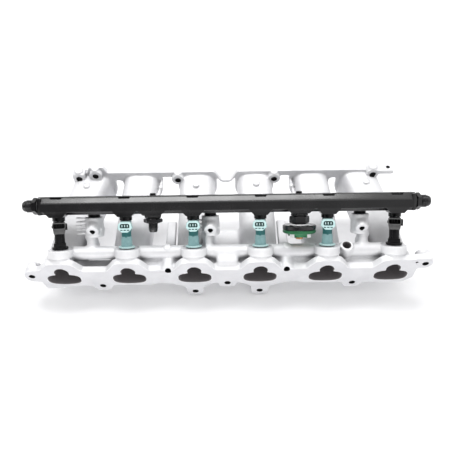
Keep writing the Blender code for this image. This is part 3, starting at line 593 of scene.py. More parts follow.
def nearest(shapes, x, y, z):
    """The least distance from each point to any of the shapes, no more than 6 mm."""
    found = np.full(len(x), 6.0)
    for distance, low, high in shapes:
        close = np.ones(len(x), bool)
        for value, first, last in zip((x, y, z), low, high):
            close &= (value > first - 6) & (value < last + 6)
        if close.any():
            found[close] = np.minimum(found[close], distance(x[close], y[close], z[close]))
    return found


# ---------------- mesh helpers

def add_object(name, mesh):
    obj = bpy.data.objects.new(name, mesh)
    bpy.context.scene.collection.objects.link(obj)
    return obj


def apply_modifier(obj, kind, **settings):
    """Add a modifier, bake it into the mesh and drop it."""
    modifier = obj.modifiers.new(kind.lower(), kind)
    for key, value in settings.items():
        setattr(modifier, key, value)
    bpy.context.view_layer.update()
    evaluated = obj.evaluated_get(bpy.context.evaluated_depsgraph_get())
    mesh = bpy.data.meshes.new_from_object(evaluated)
    obj.modifiers.clear()
    obj.data = mesh
    return obj


def weld(obj, reach=0.00001):
    bm = bmesh.new()
    bm.from_mesh(obj.data)
    bmesh.ops.remove_doubles(bm, verts=bm.verts, dist=reach)
    bmesh.ops.dissolve_degenerate(bm, edges=bm.edges, dist=0.000005)
    bm.to_mesh(obj.data)
    bm.free()
    return obj


def turned(name, profile, steps=64):
    """A turned shape about Z from (radius, z) points that run down the outside."""
    bored = all(radius > 0 for radius, _ in profile)
    mesh = bpy.data.meshes.new(name)
    edges = [(i, i + 1) for i in range(len(profile) - 1)]
    if bored:
        edges.append((len(profile) - 1, 0))
    mesh.from_pydata([(r * MM, 0, z * MM) for r, z in profile], edges, [])
    obj = add_object(name, mesh)
    apply_modifier(obj, "SCREW", steps=steps, render_steps=steps, use_merge_vertices=True,
                   merge_threshold=0.00001)
    return weld(obj)


def prism(name, corners, low, high, bevel=0.4):
    """A straight prism over an XY outline from z = low to z = high, its edges rounded."""
    bm = bmesh.new()
    ring = [bm.verts.new((x * MM, y * MM, low * MM)) for x, y in corners]
    face = bm.faces.new(ring)
    face.normal_update()
    if face.normal.z > 0:
        face.normal_flip()
    moved = bmesh.ops.extrude_face_region(bm, geom=[face])
    top = [item for item in moved["geom"] if isinstance(item, bmesh.types.BMVert)]
    bmesh.ops.translate(bm, verts=top, vec=(0, 0, (high - low) * MM))
    bmesh.ops.recalc_face_normals(bm, faces=bm.faces)
    if bevel:
        bmesh.ops.bevel(bm, geom=bm.edges, offset=bevel * MM, segments=2, affect="EDGES",
                        profile=0.7, clamp_overlap=True)
    mesh = bpy.data.meshes.new(name)
    bm.to_mesh(mesh)
    bm.free()
    return add_object(name, mesh)


def box(name, low, high, bevel=0.5):
    corners = ((low[0], low[1]), (high[0], low[1]), (high[0], high[1]), (low[0], high[1]))
    return prism(name, corners, low[2], high[2], bevel)


def hexagon(across_corners, turn=0.0):
    return [(across_corners * math.cos(math.radians(60 * i + turn)),
             across_corners * math.sin(math.radians(60 * i + turn))) for i in range(6)]


def boolean(obj, others, operation):
    """Join or cut one closed mesh with others, which are then removed."""
    for other in others:
        apply_modifier(obj, "BOOLEAN", operation=operation, object=other, solver="MANIFOLD")
        bpy.data.objects.remove(other, do_unlink=True)
    return obj


def join(obj, *others):
    return boolean(obj, others, "UNION")


def cut(obj, *others):
    return boolean(obj, others, "DIFFERENCE")


def move(obj, x=0.0, y=0.0, z=0.0, turn=None):
    """Move a mesh in place, after an optional rotation matrix."""
    if turn is not None:
        obj.data.transform(turn.to_4x4())
    obj.data.transform(Matrix.Translation((x * MM, y * MM, z * MM)))
    return obj


def finish_piece(obj, node, coats, slot=None, body="manifold", sharp=32):
    """Shade a piece, give it its materials, tie it to its body and hide its CAD node."""
    mesh = obj.data
    mesh.shade_smooth()
    mesh.set_sharp_from_angle(angle=math.radians(sharp))
    slots = [min(face.material_index, len(coats) - 1) for face in mesh.polygons]
    mesh.materials.clear()                  # a Boolean leaves some of them empty
    for coat in coats:
        mesh.materials.append(MATERIALS[coat])
    mesh.polygons.foreach_set("material_index", slots)
    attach(obj, body)
    slot or coats[0]
    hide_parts(node)


def place(obj, node, coats, **ties):
    """Finish a piece that was made in the fuel frame."""
    obj.name = f"{node}_fine"
    obj.data.transform(FUEL_FRAME)
    finish_piece(obj, node, coats, **ties)


# ---------------- materials

class Nodes:
    """Short ways to add and wire shader nodes."""

    def __init__(self, tree):
        self.tree = tree

    def node(self, kind, inputs=None, **settings):
        """Add a node and feed its inputs, given by name or number."""
        node = self.tree.nodes.new("ShaderNode" + kind)
        for key, value in settings.items():
            setattr(node, key, value)
        for key, value in (inputs or {}).items():
            self.feed(node.inputs[key], value)
        return node

    def feed(self, socket, value):
        """Give an input a number, a colour or another node's output."""
        if isinstance(value, bpy.types.NodeSocket):
            self.tree.links.new(value, socket)
        else:
            socket.default_value = (*value, 1) if socket.type == "RGBA" else value

    def math(self, operation, first, second):
        return self.node("Math", {0: first, 1: second}, operation=operation).outputs["Value"]

    def times(self, first, second):
        return self.math("MULTIPLY", first, second)

    def split(self, vector):
        return self.node("SeparateXYZ", {0: vector}).outputs

    def spread(self, value, low, high, to_low=0.0, to_high=1.0):
        """Map the stretch low..high of a value to to_low..to_high, held at both ends."""
        inputs = {"Value": value, "From Min": low, "From Max": high, "To Min": to_low, "To Max": to_high}
        return self.node("MapRange", inputs).outputs["Result"]

    def mix(self, share, first, second):
        """A colour between two colours."""
        return self.node("Mix", {0: share, 6: first, 7: second}, data_type="RGBA").outputs[2]

    def blend(self, share, first, second):
        """A number between two numbers."""
        return self.node("Mix", {0: share, 2: first, 3: second}, data_type="FLOAT").outputs[0]


class Shader(Nodes):
    """A node material built around one Principled shader, textured in the row frame."""

    def __init__(self, name, metallic=0.0, specular=0.5):
        self.material = bpy.data.materials.new(name)
        self.material.use_nodes = True
        super().__init__(self.material.node_tree)
        self.give("Metallic", metallic)
        self.give("Specular IOR Level", specular)
        self.place = self.node("TexCoord").outputs["Object"]

    def give(self, name, value):
        self.feed(self.tree.nodes["Principled BSDF"].inputs[name], value)

    def noise(self, size, detail, stretch=(1, 1, 1)):
        """Noise with grains of about size millimetres."""
        place = self.node("Mapping", {"Vector": self.place, "Scale": stretch}).outputs["Vector"]
        inputs = {"Vector": place, "Scale": 1 / (size * MM), "Detail": detail, "Roughness": 0.55}
        return self.node("TexNoise", inputs).outputs["Fac"]

    def hollows(self, reach):
        """1 in the open, less where walls closer than reach millimetres shut out the light."""
        return self.node("AmbientOcclusion", {"Distance": reach * MM}, samples=6).outputs["AO"]

    def attribute(self, name):
        return self.node("Attribute", attribute_name=name).outputs["Fac"]

    def rounded_normal(self, radius):
        return self.node("Bevel", {"Radius": radius * MM}, samples=6).outputs["Normal"]

    def edges(self, radius):
        """1 on outer and inner edges, 0 on open faces: how far a rounded normal turns away."""
        normals = {0: self.rounded_normal(radius), 1: self.node("NewGeometry").outputs["Normal"]}
        turn = self.node("VectorMath", normals, operation="DOT_PRODUCT").outputs["Value"]
        return self.spread(self.math("SUBTRACT", 1.0, turn), 0.02, 0.25)

    def finish(self, colour, roughness, height=None, depth=0.0, soft_edge=0.0):
        """Wire up the colour, the roughness, a bump of depth millimetres and softened edges."""
        self.give("Base Color", colour)
        self.give("Roughness", roughness)
        if height is not None:
            bump = {"Distance": depth * MM, "Height": height}
            if soft_edge:
                bump["Normal"] = self.rounded_normal(soft_edge)
            self.give("Normal", self.node("Bump", bump).outputs["Normal"])
        return self.material


def cast_aluminium():
    """Bead-blasted casting with milled faces, dark ports, and painted shade in its hollows and drilled holes."""
    shader = Shader("cast_aluminium")
    milled = shader.spread(shader.attribute("milled"), 0.35, 0.65)
    drilled = shader.spread(shader.attribute("drilled"), 0.55, 0.35)
    port = shader.spread(shader.attribute("port"), 0.75, 0.45)
    depth = shader.split(shader.place)["Y"]
    off_face = shader.spread(depth, 0.15 * MM, 0.45 * MM)
    port = shader.times(port, off_face)
    drilled = shader.times(drilled, off_face)
    skin, skin_rough, lumps = cast_skin(shader)
    face, face_rough, lines = milled_face(shader)
    inner, inner_rough = duct_skin(shader, depth)
    colour = shader.mix(milled, skin, face)
    colour = shader.mix(port, colour, inner)
    shade = shader.spread(shader.hollows(24), 0.12, 0.62, 0.8, 0.0)
    shade = shader.times(shade, shader.math("SUBTRACT", 1.0, port))
    colour = shader.mix(shade, colour, (0.10, 0.10, 0.11))
    # painted shade: near black inside the drilled holes and in a thin ring round them
    colour = shader.mix(drilled, colour, (0.012, 0.012, 0.013))
    rough = shader.blend(port, shader.blend(milled, skin_rough, face_rough), inner_rough)
    height = shader.blend(milled, lumps, shader.times(lines, 0.08))
    shader.give("Metallic", shader.blend(port, 0.3, 0.0))
    return shader.finish(colour, rough, height, 0.4)


def cast_skin(shader):
    """Fine blasted grain, faint stains, bright corners and dull hollows."""
    stain = shader.spread(shader.noise(38, 6), 0.35, 0.7)
    colour = shader.mix(stain, (0.76, 0.76, 0.77), (0.67, 0.67, 0.69))
    speck = shader.spread(shader.noise(1.6, 2), 0.66, 0.74)
    colour = shader.mix(shader.times(speck, 0.3), colour, (0.5, 0.5, 0.52))
    point = shader.node("NewGeometry").outputs["Pointiness"]
    colour = shader.mix(shader.spread(point, 0.505, 0.56, 0, 0.6), colour, (0.93, 0.93, 0.94))
    colour = shader.mix(shader.spread(point, 0.495, 0.44, 0, 0.6), colour, (0.4, 0.4, 0.42))
    roughness = shader.spread(shader.noise(15, 4), 0.3, 0.7, 0.42, 0.6)
    height = shader.math("ADD", shader.times(shader.noise(0.9, 3), 0.5), shader.noise(7, 5))
    return colour, roughness, height


def milled_face(shader):
    """Fine cutter lines over a bright, slightly cloudy metal."""
    lines = shader.noise(0.35, 2, (0.03, 1, 1))
    cloud = shader.spread(shader.noise(22, 4), 0.3, 0.7)
    colour = shader.mix(cloud, (0.60, 0.60, 0.62), (0.68, 0.68, 0.70))
    dots = shader.spread(shader.noise(2.4, 2), 0.68, 0.75)
    colour = shader.mix(shader.times(dots, 0.25), colour, (0.45, 0.45, 0.46))
    return colour, shader.spread(lines, 0.35, 0.65, 0.34, 0.5), lines


def duct_skin(shader, depth_m):
    """The as-cast bore: darker by the head port, lighter towards the plenum."""
    blotch = shader.times(shader.noise(14, 5), 60 * MM)
    depth = shader.spread(shader.math("ADD", depth_m, blotch), 60 * MM, 175 * MM)
    colour = shader.mix(depth, (0.15, 0.138, 0.143), (0.42, 0.41, 0.41))
    lumps = shader.noise(1.6, 5)
    colour = shader.mix(shader.spread(lumps, 0.45, 0.75, 0, 0.25), colour, (0.17, 0.16, 0.16))
    return colour, shader.spread(lumps, 0.3, 0.7, 0.6, 0.8)


def anodised(name, colour, worn, roughness=0.24, metallic=0.0):
    """Dyed anodising over a fine drawn grain: paler on its edges, less glossy in its corners."""
    shader = Shader(name, metallic)
    grain = shader.noise(0.5, 3, (0.06, 1, 1))
    cloud = shader.noise(30, 4)
    base = shader.mix(shader.spread(cloud, 0.3, 0.7), colour, tuple(1.5 * c for c in colour))
    edge = shader.times(shader.edges(0.5), shader.spread(shader.noise(5, 4), 0.35, 0.6))
    base = shader.mix(shader.times(edge, 0.35), base, worn)
    rough = shader.spread(cloud, 0.3, 0.7, roughness - 0.04, roughness + 0.06)
    shader.give("Specular IOR Level", shader.spread(shader.hollows(22), 0.35, 0.95, 0.1, 0.7))
    return shader.finish(base, rough, grain, 0.003, soft_edge=0.4)


def plastic(name, colour, deep, roughness=0.42, specular=0.5):
    """Glass-filled moulding: eggshell grain, darker flow marks and softly worn edges."""
    shader = Shader(name, specular=specular)
    shader.give("Subsurface Weight", 0.05)
    shader.give("Subsurface Radius", (MM, MM, MM))
    flow = shader.noise(3.5, 5, (1, 1, 0.4))
    grain = shader.noise(0.4, 2)
    base = shader.mix(shader.spread(flow, 0.35, 0.7), colour, deep)
    lighter = tuple(min(1.0, 1.25 * c + 0.03) for c in colour)
    base = shader.mix(shader.times(shader.edges(0.35), 0.5), base, lighter)
    rough = shader.spread(grain, 0.3, 0.7, roughness - 0.06, roughness + 0.1)
    return shader.finish(base, rough, grain, 0.03, soft_edge=0.25)


def metal(name, colour, dull):
    """Bare turned metal with a fine grain, patches of dull and bright edges."""
    shader = Shader(name, metallic=1.0)
    grain = shader.noise(0.3, 2)
    patch = shader.noise(4, 5)
    base = shader.mix(shader.spread(patch, 0.4, 0.7), colour, dull)
    bright = tuple(min(1.0, 1.3 * c) for c in colour)
    base = shader.mix(shader.times(shader.edges(0.3), 0.6), base, bright)
    return shader.finish(base, shader.spread(patch, 0.3, 0.7, 0.22, 0.42), grain, 0.02, soft_edge=0.2)


def rubber():
    """Moulded fluorocarbon rubber with a dusty bloom."""
    shader = Shader("rubber")
    bloom = shader.noise(2.2, 6)
    grain = shader.noise(0.25, 2)
    base = shader.mix(shader.spread(bloom, 0.4, 0.75), (0.014, 0.014, 0.015), (0.05, 0.05, 0.05))
    return shader.finish(base, shader.spread(bloom, 0.3, 0.7, 0.55, 0.8), grain, 0.03)


def make_materials():
    return {
        "cast_aluminium": cast_aluminium(),
        "black_anodised": anodised("black_anodised", (0.003, 0.0028, 0.0034), (0.13, 0.125, 0.13)),
        "green_anodised": anodised("green_anodised", (0.02, 0.12, 0.05), (0.3, 0.5, 0.36), 0.28, 0.5),
        "aqua": plastic("aqua_plastic", (0.52, 0.71, 0.70), (0.44, 0.64, 0.64)),
        "teal": plastic("teal_plastic", (0.26, 0.43, 0.44), (0.21, 0.37, 0.38)),
        "teal_painted_shade": plastic("teal_painted_shade_plastic", (0.03, 0.16, 0.16), (0.02, 0.12, 0.12)),
        "black": plastic("black_plastic", (0.005, 0.005, 0.006), (0.003, 0.003, 0.003), 0.36, 0.22),
        "grey": plastic("grey_plastic", (0.11, 0.11, 0.11), (0.085, 0.085, 0.085), 0.4, 0.3),
        "steel": metal("steel", (0.55, 0.55, 0.56), (0.36, 0.36, 0.37)),
        # pale: the damper's lugs, and the washer's top as a painted highlight
        "pale": plastic("pale_lug_and_washer_highlight", (0.84, 0.84, 0.85), (0.72, 0.72, 0.73)),
        "brass": metal("brass", (0.72, 0.36, 0.17), (0.42, 0.22, 0.11)),
        "rubber": rubber(),
    }


MATERIALS = make_materials()


# ---------------- fuel rail

RAIL_BOTTOM = 84.0
RAIL_HALF_DEPTH = 13.0
RAIL_CHAMFER = 5.0
RAIL_AXIS = 96.0
RAIL_BORE_RADIUS = 7.0
CUP_RADIUS = 8.6
CUP_BORE_RADIUS = 6.2
RAIL_BORE_Y = -2
LUG_TOP = 98.0
BOLT_RADIUS = 3.0
FITTING_BORE = 4.2
GAP = 0.35                      # play between two pieces
LIE_ALONG_X = Matrix(((0, 0, 1), (1, 0, 0), (0, 1, 0)))
STAND_IN_XZ = Matrix(((1, 0, 0), (0, 0, -1), (0, 1, 0)))


def slab(name, corners, low, high, bevel=0.4):
    """A prism over an XZ outline, from y = low to y = high."""
    return move(prism(name, corners, -high, -low, bevel), turn=STAND_IN_XZ)


def solid_rod(radius, x, y, low, high, end_radius=None):
    """A plain upright rod or cone, for a cut or a union."""
    top = radius if end_radius is None else end_radius
    return move(turned("rod", [(0, high), (top, high), (radius, low), (0, low)], 48), x, y)


def along_x(radius, low, high, y, z):
    rod_piece = turned("rod", [(0, high), (radius, high), (radius, low), (0, low)], 48)
    return move(rod_piece, 0, y, z, turn=LIE_ALONG_X)


def rail_bar():
    half, cut, bottom, top = RAIL_HALF_DEPTH, RAIL_CHAMFER, RAIL_BOTTOM, RAIL_TOP
    corners = ((-half, bottom + 4, 1.5), (-half, top - 9, 7), (-half + 6, top, 4), (half - cut, top, 1.5),
               (half, top - cut, 1.5), (half, bottom + cut, 1.5), (half - cut, bottom, 1.5),
               (-half + 4, bottom, 1.5))
    section = rounded_outline(corners, 5)
    return move(prism("fuel_rail_fine", section[::-1], -RAIL_END, RAIL_END, 0.0), turn=LIE_ALONG_X)


def rail_gusset(x, half_top, half_bottom, bottom):
    corners = ((x - half_top, RAIL_BOTTOM + 5), (x - half_bottom, bottom),
               (x + half_bottom, bottom), (x + half_top, RAIL_BOTTOM + 5))
    return slab("gusset", corners, -RAIL_HALF_DEPTH + 0.02, 7, 0)


def rail_notch(x):
    """A shallow milled pocket with sloping ends in the rail's top front chamfer."""
    corners = ((x - 11, RAIL_TOP + 2), (x - 7, RAIL_TOP - 3.2), (x + 7, RAIL_TOP - 3.2),
               (x + 11, RAIL_TOP + 2))
    return slab("notch", corners, -RAIL_HALF_DEPTH - 2, -RAIL_HALF_DEPTH + 7.2, 0)


def build_rail():
    rail = rail_bar()
    cups = [solid_rod(CUP_RADIUS, x, 0, CUP_BOTTOM, RAIL_BOTTOM + 4) for x in CYLINDER_X]
    join(rail, *[rail_gusset(x, 17, CUP_RADIUS + 0.4, 80.5) for x in CYLINDER_X])
    join(rail, *[rail_gusset(x, 20, 12, 82) for x in (PORT_X, DAMPER_X)])
    join(rail, *cups)
    for x in (-RAIL_END, RAIL_END):
        low, high = sorted((x, x - math.copysign(5.5, x)))
        join(rail, box("end_block", (low, -RAIL_HALF_DEPTH - 0.3, RAIL_BOTTOM - 0.3),
                       (high, RAIL_HALF_DEPTH, RAIL_TOP - 1), 3))
    for x in COLUMN_X:
        corners = ((x - 11, 6, 0), (x + 11, 6, 0), (x + 11, 24, 7), (x - 11, 24, 7))
        join(rail, prism("lug", rounded_outline(corners), RAIL_BOTTOM + 0.1, LUG_TOP, 0.7))
    for x in (PORT_X, DAMPER_X):
        plug = turned("plug", [(0, 3), (3.6, 3), (4.2, 2.4), (4.2, -2), (0, -2)], 32)
        join(rail, move(plug, x, 5, RAIL_TOP))
        key = [(x + 2 * a, 5 + 2 * b) for a, b in hexagon(1)]
        cut(rail, prism("key", key, RAIL_TOP + 1, RAIL_TOP + 4, 0))
    cut(rail, *[rail_notch(x) for x in CYLINDER_X])
    cup_bore = [(0, RAIL_AXIS - 3), (CUP_BORE_RADIUS, RAIL_AXIS - 3.4), (CUP_BORE_RADIUS, CUP_BOTTOM + 1),
                (CUP_BORE_RADIUS + 1.4, CUP_BOTTOM - 0.5), (0, CUP_BOTTOM - 0.5)]
    for x in CYLINDER_X:
        cut(rail, move(turned("bore", cup_bore, 48), x))
    cut(rail, *[solid_rod(6.5, x, 0, 70, RAIL_AXIS - 2) for x in (PORT_X, DAMPER_X)])
    for x in COLUMN_X:
        cut(rail, solid_rod(BOLT_RADIUS + GAP, x, COLUMN_BACK, 80, RAIL_TOP + 2),
            solid_rod(6.4, x, COLUMN_BACK, LUG_TOP, RAIL_TOP + 3))
    reach = RAIL_END + 2
    cut(rail, along_x(RAIL_BORE_RADIUS, -reach, reach, RAIL_BORE_Y, RAIL_AXIS))
    place(rail, "fuel_rail", ["black_anodised"], sharp=20)


def thread(radius, low, high, pitch=1.4, depth=0.45):
    """Points down the outside of a threaded length, as (radius, z)."""
    points = []
    for i in range(round((high - low) / pitch)):
        crest = high - pitch * (i + 0.5)
        points += [(radius - depth, crest + pitch * 0.45), (radius, crest + pitch * 0.12),
                   (radius, crest - pitch * 0.12), (radius - depth, crest - pitch * 0.45)]
    return points


def nut(radius, low, high, bore, chamfer=0.9):
    """A hexagon with its corners turned off and a hole through it."""
    body = prism("nut", hexagon(radius), low, high, 0)
    wide, flat = radius + 0.05, radius * 0.9
    barrel = turned("barrel", [(0, high + 0.1), (flat, high + 0.1), (wide, high - chamfer),
                               (wide, low + chamfer), (flat, low - 0.1), (0, low - 0.1)], 48)
    boolean(body, [barrel], "INTERSECT")
    return cut(body, solid_rod(bore, 0, 0, low - 1, high + 1))


def end_fitting():
    """A male flare fitting along +Z: a stub, a hexagon, a collar, a thread and a coned nose."""
    stub = RAIL_BORE_RADIUS - GAP
    profile = [(6.1, 22.0), (7.5, 19.8), (7.5, 17.2), (8.6, 16.6)] + thread(8.6, 9.4, 16.4)
    profile += [(8.6, 9.0), (7.4, 8.4), (7.4, 2.6), (stub, 2.4), (stub, -14),
                (FITTING_BORE, -14), (FITTING_BORE, 21.4), (4.8, 22.0)]
    return join(turned("fitting", profile), nut(11.8, 2.6, 8.0, FITTING_BORE + 0.6))


def ring(inner, outer, low, high):
    """An O-ring of round section between two radii."""
    middle, half = (inner + outer) / 2, (outer - inner) / 2
    tall = (high - low) / 2
    points = []
    for step in range(16):
        angle = math.pi / 2 - 2 * math.pi * step / 16
        points.append((middle + half * math.cos(angle), (low + high) / 2 + tall * math.sin(angle)))
    return turned("ring", points)


def build_end_fittings():
    for name, side in (("left", -1), ("right", 1)):
        seal = ring(RAIL_BORE_RADIUS + 0.1, RAIL_BORE_RADIUS + 2.1, 0.3, 2.3)
        turn = Matrix.Rotation(side * math.radians(90), 3, "Y")
        for kind, piece, coat in (("fitting", end_fitting(), "black_anodised"), ("seal", seal, "rubber")):
            move(piece, side * RAIL_END, RAIL_BORE_Y, RAIL_AXIS, turn=turn)
            place(piece, f"rail_end_{kind}_{name}", [coat])


def build_return_port():
    """A stepped hexagon fitting with a threaded, coned nose that points down from the rail."""
    profile = [(3.9, 93), (5.9, 92.6), (5.9, 81.3), (9.4, 81.1), (9.4, 70.6), (6.5, 70.1)]
    profile += thread(6.6, 63.6, 70.0) + [(6.1, 63.4), (6.1, 61.2), (5.0, 58), (3.2, 58), (3.2, 93)]
    body = turned("fitting", profile)
    join(body, nut(13.2, 71.5, 76.5, FITTING_BORE), nut(11.2, 77.4, 80.6, FITTING_BORE))
    place(move(body, PORT_X), "return_port_fitting", ["black_anodised"])
    place(move(ring(9.9, 11.6, 79.6, 81.6), PORT_X), "return_port_seal", ["rubber"])


def build_mountings():
    """Spacers under the rail and the socket screws that pass through them."""
    low, high, hole = SPACER_LOW, SPACER_HIGH, BOLT_RADIUS + GAP
    collar = [(7.9, high), (8.6, high - 0.7), (8.6, high - 1.6), (8.2, high - 1.9), (8.2, low + 1.9),
              (8.6, low + 1.6), (8.6, low + 0.7), (7.9, low), (hole + 0.4, low), (hole, low + 0.4),
              (hole, high - 0.4), (hole + 0.4, high)]
    seat = LUG_TOP + GAP
    screw = [(0, seat + 6), (4.4, seat + 6), (5.2, seat + 5.2), (5.2, seat + 0.4), (4.9, seat),
             (BOLT_RADIUS, seat)]
    screw += thread(BOLT_RADIUS, 60, 76, 1.0, 0.35) + [(2.4, 59), (2.0, 58), (0, 58)]
    for number, x in enumerate(COLUMN_X, 1):
        spacer = move(turned("spacer", collar), x, COLUMN_BACK)
        place(spacer, f"rail_spacer_{number}", ["black_anodised"])
        bolt = cut(turned("bolt", screw), prism("key", hexagon(2.9), seat + 3, seat + 7, 0))
        place(move(bolt, x, COLUMN_BACK), f"rail_bolt_{number}", ["steel"])


# ---------------- injectors

CORE_RADIUS = 6.0
CORE_SHOULDER = 54.0            # where the steel core narrows
CORE_NECK_RADIUS = 4.4
HOUSING_TOP = 74.2
SOCKET_FRONT = -20.0
SOCKET_BACK = -5.2
SOCKET_REACH = 17.0             # only a plug socket is this far from the injector's axis


def paint(obj, rule):
    """Choose each face's material slot from its centre, in the fuel frame."""
    for face in obj.data.polygons:
        face.material_index = rule(face.center / MM)


def shallow_socket(low, high, half_width):
    """A rounded, open box with two side wings, a latch ramp and a lower lip."""
    front, wall = SOCKET_FRONT, 1.1

    def outline(inset, low_radius, high_radius, steps):
        side = half_width - inset
        return rounded_outline(((-side, low + inset, low_radius), (side, low + inset, low_radius),
                                (side, high - inset, high_radius), (-side, high - inset, high_radius)),
                               steps)

    body = slab("socket", outline(0, 2.6, 2.2, 4), front, SOCKET_BACK, 0.5)
    wings = [box("wing", (side * half_width - 0.9, front + 3.5, low + 1.6),
                 (side * half_width + 0.9, -7, low + 4.6), 0.5) for side in (-1, 1)]
    lip = box("lip", (-5.4, front + 2, low - 1.4), (5.4, front + 9, low + 0.8), 0.5)
    ramp = ((-3.2, high - 0.8), (3.2, high - 0.8), (2.6, high + 0.5), (-2.6, high + 0.5))
    join(body, *wings, lip, slab("latch", ramp, front + 3, front + 8, 0.2))
    return cut(body, slab("cavity", outline(wall, 1.6, 1.2, 3), front - 4, -10.6, 0))


def sleeve(profile):
    """A housing's turned part from its outline below the top, bored for the steel core."""
    wide, narrow, shoulder = CORE_RADIUS + GAP, CORE_NECK_RADIUS + GAP, CORE_SHOULDER + GAP
    rim = [(6.9, HOUSING_TOP), (7.4, 73.7), (7.4, 60)]
    bore = [(wide, 36), (wide, shoulder), (narrow, shoulder), (narrow, HOUSING_TOP)]
    return turned("sleeve", rim + profile + bore)


def teal_housing():
    """A plain round body on a thin wide ring, with painted shadow on the waist under an eight-sided socket."""
    low, high, half = 60.2, 74.0, 8.8
    body = sleeve([(6.6, 59.2), (6.6, 52.4), (7.1, 51.2), (7.3, 50), (7.7, 41), (8.0, 38.6),
                   (10.9, 38.3), (11.2, 37.9), (11.2, 36.8), (10.8, 36.3)])
    sides = ((4.6 - half, low), (half - 4.6, low), (half, low + 4.6), (half, high - 3),
             (half - 3, high), (3 - half, high), (-half, high - 3), (-half, low + 4.6))
    outline = rounded_outline([(x, z, 1.2) for x, z in sides], 3)
    join(body, slab("socket", outline, SOCKET_FRONT, SOCKET_BACK, 0.6))
    join(body, *[box("wing", (side * half - 0.8, -17, low + 4.4), (side * half + 0.8, -8, low + 7.4), 0.5)
                 for side in (-1, 1)])
    mouth = ((-6.3, 65.9, 1.5), (6.3, 65.9, 1.5), (6.3, 71.9, 2.4), (-6.3, 71.9, 2.4))
    slots = [box("slot", (x - 1.5, -22, 62.6), (x + 1.5, -16.5, 63.9), 0) for x in (-4.4, 0, 4.4)]
    cut(body, slab("mouth", rounded_outline(mouth, 4), -24, -11.5, 0), *slots,
        box("groove", (-2.0, -8.6, 43), (2.0, -6.9, 53), 0.3))
    join(body, *[box("pin", (x - 0.7, -19.3, 67.2), (x + 0.7, -9, 70.4), 0.2) for x in (-3.6, 0, 3.6)])

    def rule(centre):
        """Slot 0 for the socket and the ring, 1 for the body, 2 for painted shade on the waist and in the
        openings.
        """
        if centre.y < -5.6 and centre.z > low - 2:
            # painted shade inside the socket's slots and mouth
            slot = centre.y > -19.6 and 62.5 < centre.z < 64
            mouth_wall = abs(centre.x) < 6.4 and 65.8 < centre.z < 72 and -18.8 < centre.y
            return 2 if slot or mouth_wall else 0
        # painted shadow on the waist under the socket
        if 51.8 < centre.z < low:
            return 2
        return 0 if centre.z < 38.5 else 1

    paint(body, rule)
    return body


def black_housing():
    """A slimmer body with a shallow plug socket on a grey band, a side latch and a foot clip."""
    low, high = 65.4, 74.2
    body = sleeve([(6.9, 59), (6.9, 46), (7.3, 45.6), (7.3, 44), (6.9, 43.5), (6.9, 40.6), (8.4, 40.2),
                   (8.4, 38.9), (10.6, 38.7), (11.0, 38.3), (11.0, 36.4), (10.6, 36.0)])
    join(body, shallow_socket(low, high, 8.6))
    corners = ((-7.2, 58.6), (7.2, 58.6), (8.4, low + 0.6), (-8.4, low + 0.6))
    join(body, slab("band", corners, -17, -3, 0.8), box("side_latch", (8.0, -18, 64), (10.8, -9, 72.5), 0.6),
         box("clip", (-8.2, -8.4, 38.4), (8.2, -3, 44.8), 0.8),
         box("spine", (-2.4, -8.2, 44), (2.4, -5, 59), 0.5))
    cut(body, solid_rod(CORE_RADIUS + GAP, 0, 0, 35, CORE_SHOULDER + GAP),
        solid_rod(CORE_NECK_RADIUS + GAP, 0, 0, 50, 76))
    middle = (low + high) / 2
    join(body, *[box("pin", (x - 0.5, -18, middle - 1.6), (x + 0.5, -9, middle + 1.6), 0.15)
                 for x in (-3.4, 0, 3.4)])

    def rule(centre):
        """Slot 1 for the socket's rim and the band, 0 for the rest."""
        rim = centre.y < -19.4 and low - 1 < centre.z
        band = 58.4 < centre.z < low + 0.5 and centre.y < -6
        return 1 if rim or band else 0

    paint(body, rule)
    return body


def injector_core():
    """The steel core: inlet with its filter cap, a groove for each seal and the tip."""
    neck, wide, shoulder = CORE_NECK_RADIUS, CORE_RADIUS, CORE_SHOULDER
    return turned("core", [
        (4.0, 87), (4.6, 86.4), (4.6, 84), (3.4, 83.8), (3.4, 80.2), (neck, 80), (neck, shoulder),
        (5.9, shoulder), (wide, 53.6), (wide, 31.7), (5.0, 31.5), (5.0, 26.6), (6.2, 26.5), (6.4, 26.2),
        (6.4, 23.4), (5.4, 22), (1.4, 22), (1.4, 86.2), (2.2, 87)])


def socket_turn(number):
    """How far the CAD turns an injector's plug socket about the injector axis, in radians."""
    points = fuel_points(f"injector_{number}_housing")[:, :2] - (CYLINDER_X[number - 1], 0)
    x, y = points[np.hypot(*points.T) > SOCKET_REACH].sum(0)
    return math.atan2(x, -y)


def build_injectors():
    needle = turned("needle", [(0, 46), (0.8, 46), (1.05, 45.7), (1.05, 24), (0, 22.4)], 32)
    inner = {
        "body": (injector_core(), "steel", ["steel"]),
        "needle": (needle, "steel", ["steel"]),
        "upper_seal": (ring(3.75, 5.8, 80.6, 83.4), "rubber", ["rubber"]),
        "lower_seal": (ring(5.35, 7.2, 27.2, 30.8), "rubber", ["rubber"]),
    }
    teal = (teal_housing(), "teal_plastic", ["aqua", "teal", "teal_painted_shade"])
    black = (black_housing(), "black_plastic", ["black", "grey"])
    for number, x in enumerate(CYLINDER_X, 1):
        housing = black if number in (1, 6) else teal
        turn = Matrix.Rotation(socket_turn(number), 3, "Z")
        for kind, (master, slot, coats) in {"housing": housing, **inner}.items():
            piece = move(add_object(kind, master.data.copy()), x, turn=turn)
            body = f"needle_{number}" if kind == "needle" else f"injector_{number}"
            place(piece, f"injector_{number}_{kind}", coats, slot=slot, body=body)
    for master, *_ in (*inner.values(), teal, black):
        bpy.data.objects.remove(master, do_unlink=True)


# ---------------- pulsation damper

DAMPER_RADIUS = 23.0
DAMPER_HOLLOW_RADIUS = 18.4
DAMPER_SPLIT = 59.0             # the lower case's top edge, in the fuel frame


